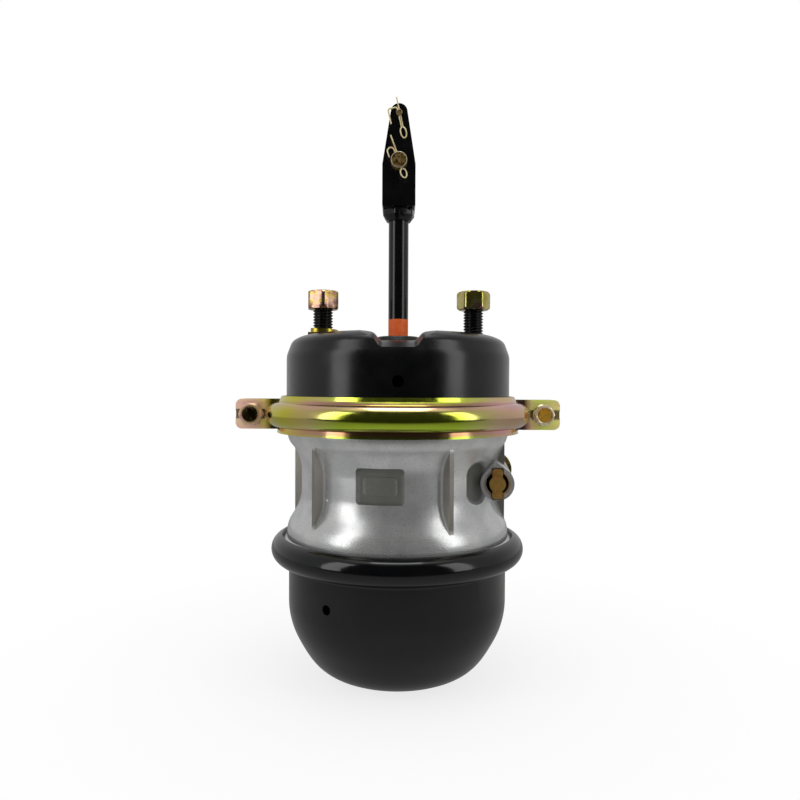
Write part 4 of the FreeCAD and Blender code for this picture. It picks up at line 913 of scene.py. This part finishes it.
# %% Rows of the clamp bolts and nuts
bolt_out = 115.6 * mm
ear_front = 8.9 * mm
bolts_low, bolts_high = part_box("clamp_bolts")
bolt_middle = (bolts_low.z + bolts_high.z) / 2
head_rows = [
    (0.0, 8.4, 30.0),
    (1.0, 8.6, 30.0),
    (1.6, 8.0, 15.4),
    (5.2, 8.0, 14.6),
    (6.1, 7.4, 14.0),
    (6.4, 6.7, 12.9),
    (6.1, 6.1, 11.9),
    (5.4, 5.7, 11.2),
    (5.2, 2.0, 4.0),
]
bright_bands = range(7)
nut_rows = [
    (0.0, 9.2, 17.4),
    (0.6, 9.8, 17.5),
    (5.4, 9.8, 17.5),
    (6.9, 9.1, 17.5),
    (8.0, 8.2, 17.5),
    (8.5, 7.4, 30.0),
    (8.5, 6.2, 30.0),
    (7.6, 5.7, 30.0),
]
shank_sizes = {
    "Crest radius": 5.8 * mm,
    "Root radius": 4.9 * mm,
    "Pitch": 1.6 * mm,
    "Bottom": -ear_front,
    "Top": ear_front + 12.5 * mm,
    "Chamfer": 0.9 * mm,
    "Around": 36,
    "Rows": 120,
    "Finish": bolt_end,
}
print("clamp bolts are", round(1000 * (bolts_high.y - bolts_low.y), 1), "mm long")

# %% [markdown]
# Each set is made along Z at the origin, and a matrix lays it over the ears. The left set is the right
# one turned end for end, so the two share every row and size.

# %% Clamp bolts and nuts
for side, sign in (("left", -1), ("right", 1)):
    to_front = Matrix.Translation((sign * bolt_out, 0, bolt_middle)) @ Matrix.Rotation(math.pi / 2, 4, "X")
    to_back = to_front @ Matrix.Rotation(math.pi, 4, "X")
    head_side, nut_side = (to_front, to_back) if sign > 0 else (to_back, to_front)
    on_ear = Matrix.Translation((0, 0, ear_front)) @ Matrix.Rotation(math.radians(30), 4, "Z")
    bright = (bolt_zinc, rim_zinc)
    head = hexagon("clamp_bolt_head_" + side, head_rows, bright, head_side @ on_ear, bright_bands)
    nut = hexagon("clamp_nut_" + side, nut_rows, (collar_zinc,), nut_side @ on_ear)
    shank = smoothed(grown("clamp_bolt_shank_" + side, threaded_rod, shank_sizes, nut_side), 50)
    joined_to(head, "chamber", "clamp_bolts")
    joined_to(shank, "chamber", "clamp_bolts")
    joined_to(nut, "chamber", "clamp_nuts")
    print(side, "clamp bolt with", len(head.data.polygons) + len(shank.data.polygons), "faces")

# %% [markdown]
# The stud nuts and the lock nut. The stud nuts are plain hexagons whose corners are turned away at both
# ends, as on any forged nut, which rounds their outline at the top. The lock nut under the clevis is
# turned to a cone at its foot, so that it narrows onto the push rod. Each stopped at the angle where it
# was tight, so each has its own turn.

# %% Stud nuts and lock nut
stud_nut_rows = [
    (0.0, 8.4, 40.0),
    (0.0, 11.3, 40.0),
    (0.5, 12.2, 23.6),
    (1.7, 13.3, 23.8),
    (12.6, 13.4, 23.8),
    (13.7, 12.8, 23.8),
    (14.4, 11.9, 23.8),
    (14.8, 10.9, 40.0),
    (14.8, 8.6, 40.0),
    (14.0, 8.1, 40.0),
]
lock_nut_rows = [
    (0.0, 8.6, 40.0),
    (0.0, 9.6, 40.0),
    (2.4, 11.2, 23.2),
    (4.4, 13.0, 23.8),
    (8.6, 13.3, 23.8),
    (9.5, 12.2, 23.8),
    (9.5, 8.6, 40.0),
]
for node, rows, coating, slot, rider, turned in (
    ("stud_nut_left", stud_nut_rows, nut_rose, "yellow_zinc", "chamber", 67.7),
    ("stud_nut_right", stud_nut_rows, nut_zinc, "yellow_zinc", "chamber", 27.0),
    ("lock_nut", lock_nut_rows, yoke_paint, "black_rod", "push_rod_set", 51.5),
):
    low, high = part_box(node)
    seat = Matrix.Translation(((low.x + high.x) / 2, (low.y + high.y) / 2, low.z))
    spin = Matrix.Rotation(math.radians(turned), 4, "Z")
    piece = hexagon(node + "_turned", rows, (coating,), seat @ spin)
    joined_to(piece, rider, node)
    print(node, "is", round(1000 * (high.z - low.z), 1), "mm tall, its rows", rows[-1][0])

# %% [markdown]
# The cotters. A split pin is one drawn wire: a long leg, an eye, and a second leg that is hooked over to
# one side so that it can't slip out. Its bends are smooth, so its line is worked out from the same
# bends as the CAD solid has: two straight legs, an eye that follows one turn of a sine, and a hook of
# two quarter rounds.

# %% The line of a cotter
def quarter_round(centre, radius, start):
    """Points of a quarter of a circle in the cotter's own plane, from this angle in degrees."""
    steps = 10
    points = []
    for step in range(steps + 1):
        angle = math.radians(start + 90 * step / steps)
        points.append((centre[0] + radius * math.cos(angle), centre[1] + radius * math.sin(angle)))
    return points


def cotter_line(neck, eye_end, leg_end, hook_start, hook_round, hook_width, hook_end):
    """The wire's line in mm, counted along its legs from the middle of the pin that it locks."""
    legs_apart = 0.62
    eye_width = 1.75
    eye_steps = 32
    points = [(legs_apart, leg_end), (legs_apart, neck)]
    for step in range(1, eye_steps):
        turn = math.tau * step / eye_steps
        sideways = legs_apart * math.cos(turn / 2) + eye_width * math.sin(turn)
        points.append((sideways, neck - (neck - eye_end) * (1 - math.cos(turn)) / 2))
    points.append((-legs_apart, neck))
    points += quarter_round((-legs_apart - hook_round, hook_start), hook_round, 0)
    points += quarter_round((-legs_apart - hook_width + hook_round, hook_start), hook_round, 90)
    points.append((-legs_apart - hook_width, hook_end))
    return points


clevis_bends = {
    "neck": -7.15,
    "eye_end": -14.15,
    "leg_end": 20.2,
    "hook_start": 8.75,
    "hook_round": 2.6,
    "hook_width": 5.5,
    "hook_end": 4.55,
}
link_bends = {
    "neck": -11.4,
    "eye_end": -19.6,
    "leg_end": 12.4,
    "hook_start": 3.3,
    "hook_round": 1.6,
    "hook_width": 7.3,
    "hook_end": -6.8,
}
print("the clevis pin's cotter follows", len(cotter_line(**clevis_bends)), "points")

# %% [markdown]
# A curve with a round bevel sweeps the wire, 1.1 mm thick, and the evaluated curve is kept as a mesh.
# Each cotter stands in front of its pin's yoke cheek and leans a little, as it was pushed in.

# %% Cotters
def bent_wire(name, points, place):
    """A round wire swept along points given in millimetres."""
    line = bpy.data.curves.new(name, "CURVE")
    line.dimensions = "3D"
    line.bevel_depth = 0.55 * mm
    line.bevel_resolution = 4
    line.use_fill_caps = True
    spline = line.splines.new("POLY")
    spline.points.add(len(points) - 1)
    for point, (sideways, along) in zip(spline.points, points):
        point.co = (mm * sideways, 0, mm * along, 1)
    carrier = placed(name, line)
    bpy.context.view_layer.update()
    swept = carrier.evaluated_get(bpy.context.evaluated_depsgraph_get())
    mesh = bpy.data.meshes.new_from_object(swept)
    bpy.data.objects.remove(carrier)
    mesh.transform(place)
    mesh.materials.clear()
    mesh.materials.append(cotter_wire)
    return smoothed(placed(name, mesh), 50)


for node, rider, forward, height, tilt, bends in (
    ("clevis_cotter", "clevis_pin_set", 20.05, 403.4, 20.5, clevis_bends),
    ("link_cotter", "link_pin_set", 15.85, 441.2, 13.0, link_bends),
):
    stand = Matrix.Translation((0, -forward * mm, height * mm))
    lean = Matrix.Rotation(math.radians(-tilt), 4, "Y")
    wire = bent_wire(node + "_wire", cotter_line(**bends), stand @ lean)
    joined_to(wire, rider, node)
    print(node, "swept with", len(wire.data.polygons), "faces")

# %% [markdown]
# The camera. The photograph was taken from the front with the lens level with the clamp ring, a little
# over half a metre away. Those numbers come from how much each round edge sags in the picture: an edge
# above the lens bows up, one below it bows down, and the nearer the lens, the more it bows.

# %% Camera
pitch_down = math.radians(1.05)
roll = math.radians(0.27)
camera_data = bpy.data.cameras.new("Camera")
camera_data.sensor_width = 36.0
camera_data.lens = 31.95
camera_data.shift_x = 0.0027
camera_data.clip_start = 50 * mm
camera = placed("Camera", camera_data)
camera.location = (0.0, -0.5716, 0.2283)
camera.rotation_euler = Euler((math.pi / 2 - pitch_down, 0, 0))
camera.rotation_euler.rotate_axis("Z", roll)
bpy.context.scene.camera = camera
print("camera stands", round(-camera.location.y, 3), "m in front")

# %% [markdown]
# The floor. Round the object it keeps part of its real shading, so the contact shadow shows, and from
# there it fades to a plain white, so that no horizon line cuts the picture. The fade follows the
# distance from the object's axis, in object coordinates. In reflections the floor gets darker towards
# the front, where the tent is open and no light falls on it.

# %% Floor
pale_floor, tree = empty_finish("Pale floor")
place = add(tree, "ShaderNodeTexCoord").outputs["Object"]
spot = add(tree, "ShaderNodeSeparateXYZ", (place,)).outputs
ray = add(tree, "ShaderNodeLightPath").outputs
seen = add(tree, "ShaderNodeMath", (ray["Is Camera Ray"], ray["Is Glossy Ray"]), operation="MAXIMUM")
seen = add(tree, "ShaderNodeMath", (seen, ray["Is Transmission Ray"]), operation="MAXIMUM")
away = add(tree, "ShaderNodeVectorMath", (place,), operation="LENGTH")
plain = add(tree, "ShaderNodeMapRange", (away, 50 * mm, 360 * mm, 0.78, 1.0))
plain = add(tree, "ShaderNodeMath", (plain, seen), operation="MULTIPLY")
dusk = add(tree, "ShaderNodeMapRange", (spot["Y"], -0.50, -0.30, 0.03, 0.32))
glow = add(tree, "ShaderNodeMath", (dusk, ray["Is Camera Ray"]), operation="MAXIMUM")
white = add(tree, "ShaderNodeEmission", {"Color": "#ffffff", "Strength": glow})
matt = add(tree, "ShaderNodeBsdfDiffuse", {"Color": "#f4f4f4"})
shown = add(tree, "ShaderNodeMixShader", (plain, matt, white))
add(tree, "ShaderNodeOutputMaterial", (shown,))

reach = 2.5
corners = [(-reach, -reach, 0), (reach, -reach, 0), (reach, reach, 0), (-reach, reach, 0)]
floor_mesh = bpy.data.meshes.new("floor")
floor_mesh.from_pydata(corners, [], [(0, 1, 2, 3)])
floor_mesh.materials.append(pale_floor)
floor = placed("floor", floor_mesh)
floor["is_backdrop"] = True
print("floor is", 2 * reach, "m wide")

# %% [markdown]
# The room. Black paint and bare metal look like what they reflect, so the room matters more than the
# lamps. It is a white tent with a dark opening where the photographer stands: in reflections it is
# brightest behind the object and overhead, nearly as bright at the sides, and dark towards the front.
# The camera sees it plain white, and a matt surface takes one even strength from it.

# %% The room
even_light = 0.55
world = bpy.data.worlds.new("Light tent")
bpy.context.scene.world = world
world.use_nodes = True
tree = world.node_tree
tree.nodes.clear()
direction = add(tree, "ShaderNodeTexCoord").outputs["Generated"]
toward = add(tree, "ShaderNodeSeparateXYZ", (direction,)).outputs
level_way = add(tree, "ShaderNodeVectorMath", (direction, (1, 1, 0)), operation="MULTIPLY")
level_way = add(tree, "ShaderNodeVectorMath", (level_way,), operation="NORMALIZE")
bearing = add(tree, "ShaderNodeSeparateXYZ", (level_way,)).outputs["Y"]
walls = add(tree, "ShaderNodeMapRange", (bearing, -0.70, -0.45, 0.03, 0.44))
back = add(tree, "ShaderNodeMapRange", (toward["Y"], 0.1, 0.7, 0.0, 0.12))
roof = add(tree, "ShaderNodeMapRange", (toward["Z"], 0.86, 0.96, 0.0, 0.60))
tent = add(tree, "ShaderNodeMath", (walls, back), operation="ADD")
tent = add(tree, "ShaderNodeMath", (tent, roof), operation="ADD")
tent = add(tree, "ShaderNodeMath", (tent, 1.0), operation="MINIMUM")
ray = add(tree, "ShaderNodeLightPath").outputs
in_glass = ray["Is Transmission Ray"]
mirrored = add(tree, "ShaderNodeMath", (ray["Is Glossy Ray"], in_glass), operation="MAXIMUM")
level = add(tree, "ShaderNodeMix", {0: mirrored, 2: even_light, 3: tent}, data_type="FLOAT")
level = add(tree, "ShaderNodeMath", (level, ray["Is Camera Ray"]), operation="MAXIMUM")
sky = add(tree, "ShaderNodeBackground", {"Color": "#ffffff", "Strength": level})
add(tree, "ShaderNodeOutputWorld", (sky,))
print("room has", len(tree.nodes), "nodes")

# %% [markdown]
# The lamps. Two tall soft boxes, half right and half left of the camera, lay a broad upright streak on
# each side of the black cans, and a wide one overhead lights the tops. They are large and weak, since
# a small strong lamp would burn white spots into the bare metal.

# %% Soft boxes
def soft_box(name, place, aim, width, height, watts):
    """A rectangular lamp that stands at a place and faces another."""
    lamp = bpy.data.lights.new(name, "AREA")
    lamp.shape = "RECTANGLE"
    lamp.size = width
    lamp.size_y = height
    lamp.energy = watts
    holder = placed(name, lamp)
    holder.location = place
    holder.rotation_euler = (Vector(aim) - Vector(place)).to_track_quat("-Z", "Y").to_euler()


soft_box("Left soft box", (-1.0, -0.66, 0.66), (0, 0, 0.25), 0.42, 1.3, 3.9)
soft_box("Right soft box", (1.0, -0.66, 0.66), (0, 0, 0.25), 0.42, 1.3, 3.5)
soft_box("Top soft box", (0, -0.10, 1.3), (0, 0, 0.2), 0.6, 0.6, 4.0)
bpy.context.scene.view_settings.view_transform = "Standard"
print("three soft boxes")

# %% [markdown]
# Last, the size of the dressed model is set beside the CAD box.

# %% Sizes and finish
seen_low, seen_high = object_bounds()
sizes = {
    "cad": [list(cad_low), list(cad_high)],
    "visual": [list(seen_low), list(seen_high)],
}
print("grown by mm:", [round(1000 * (a - b), 2) for a, b in zip(seen_high, cad_high)])
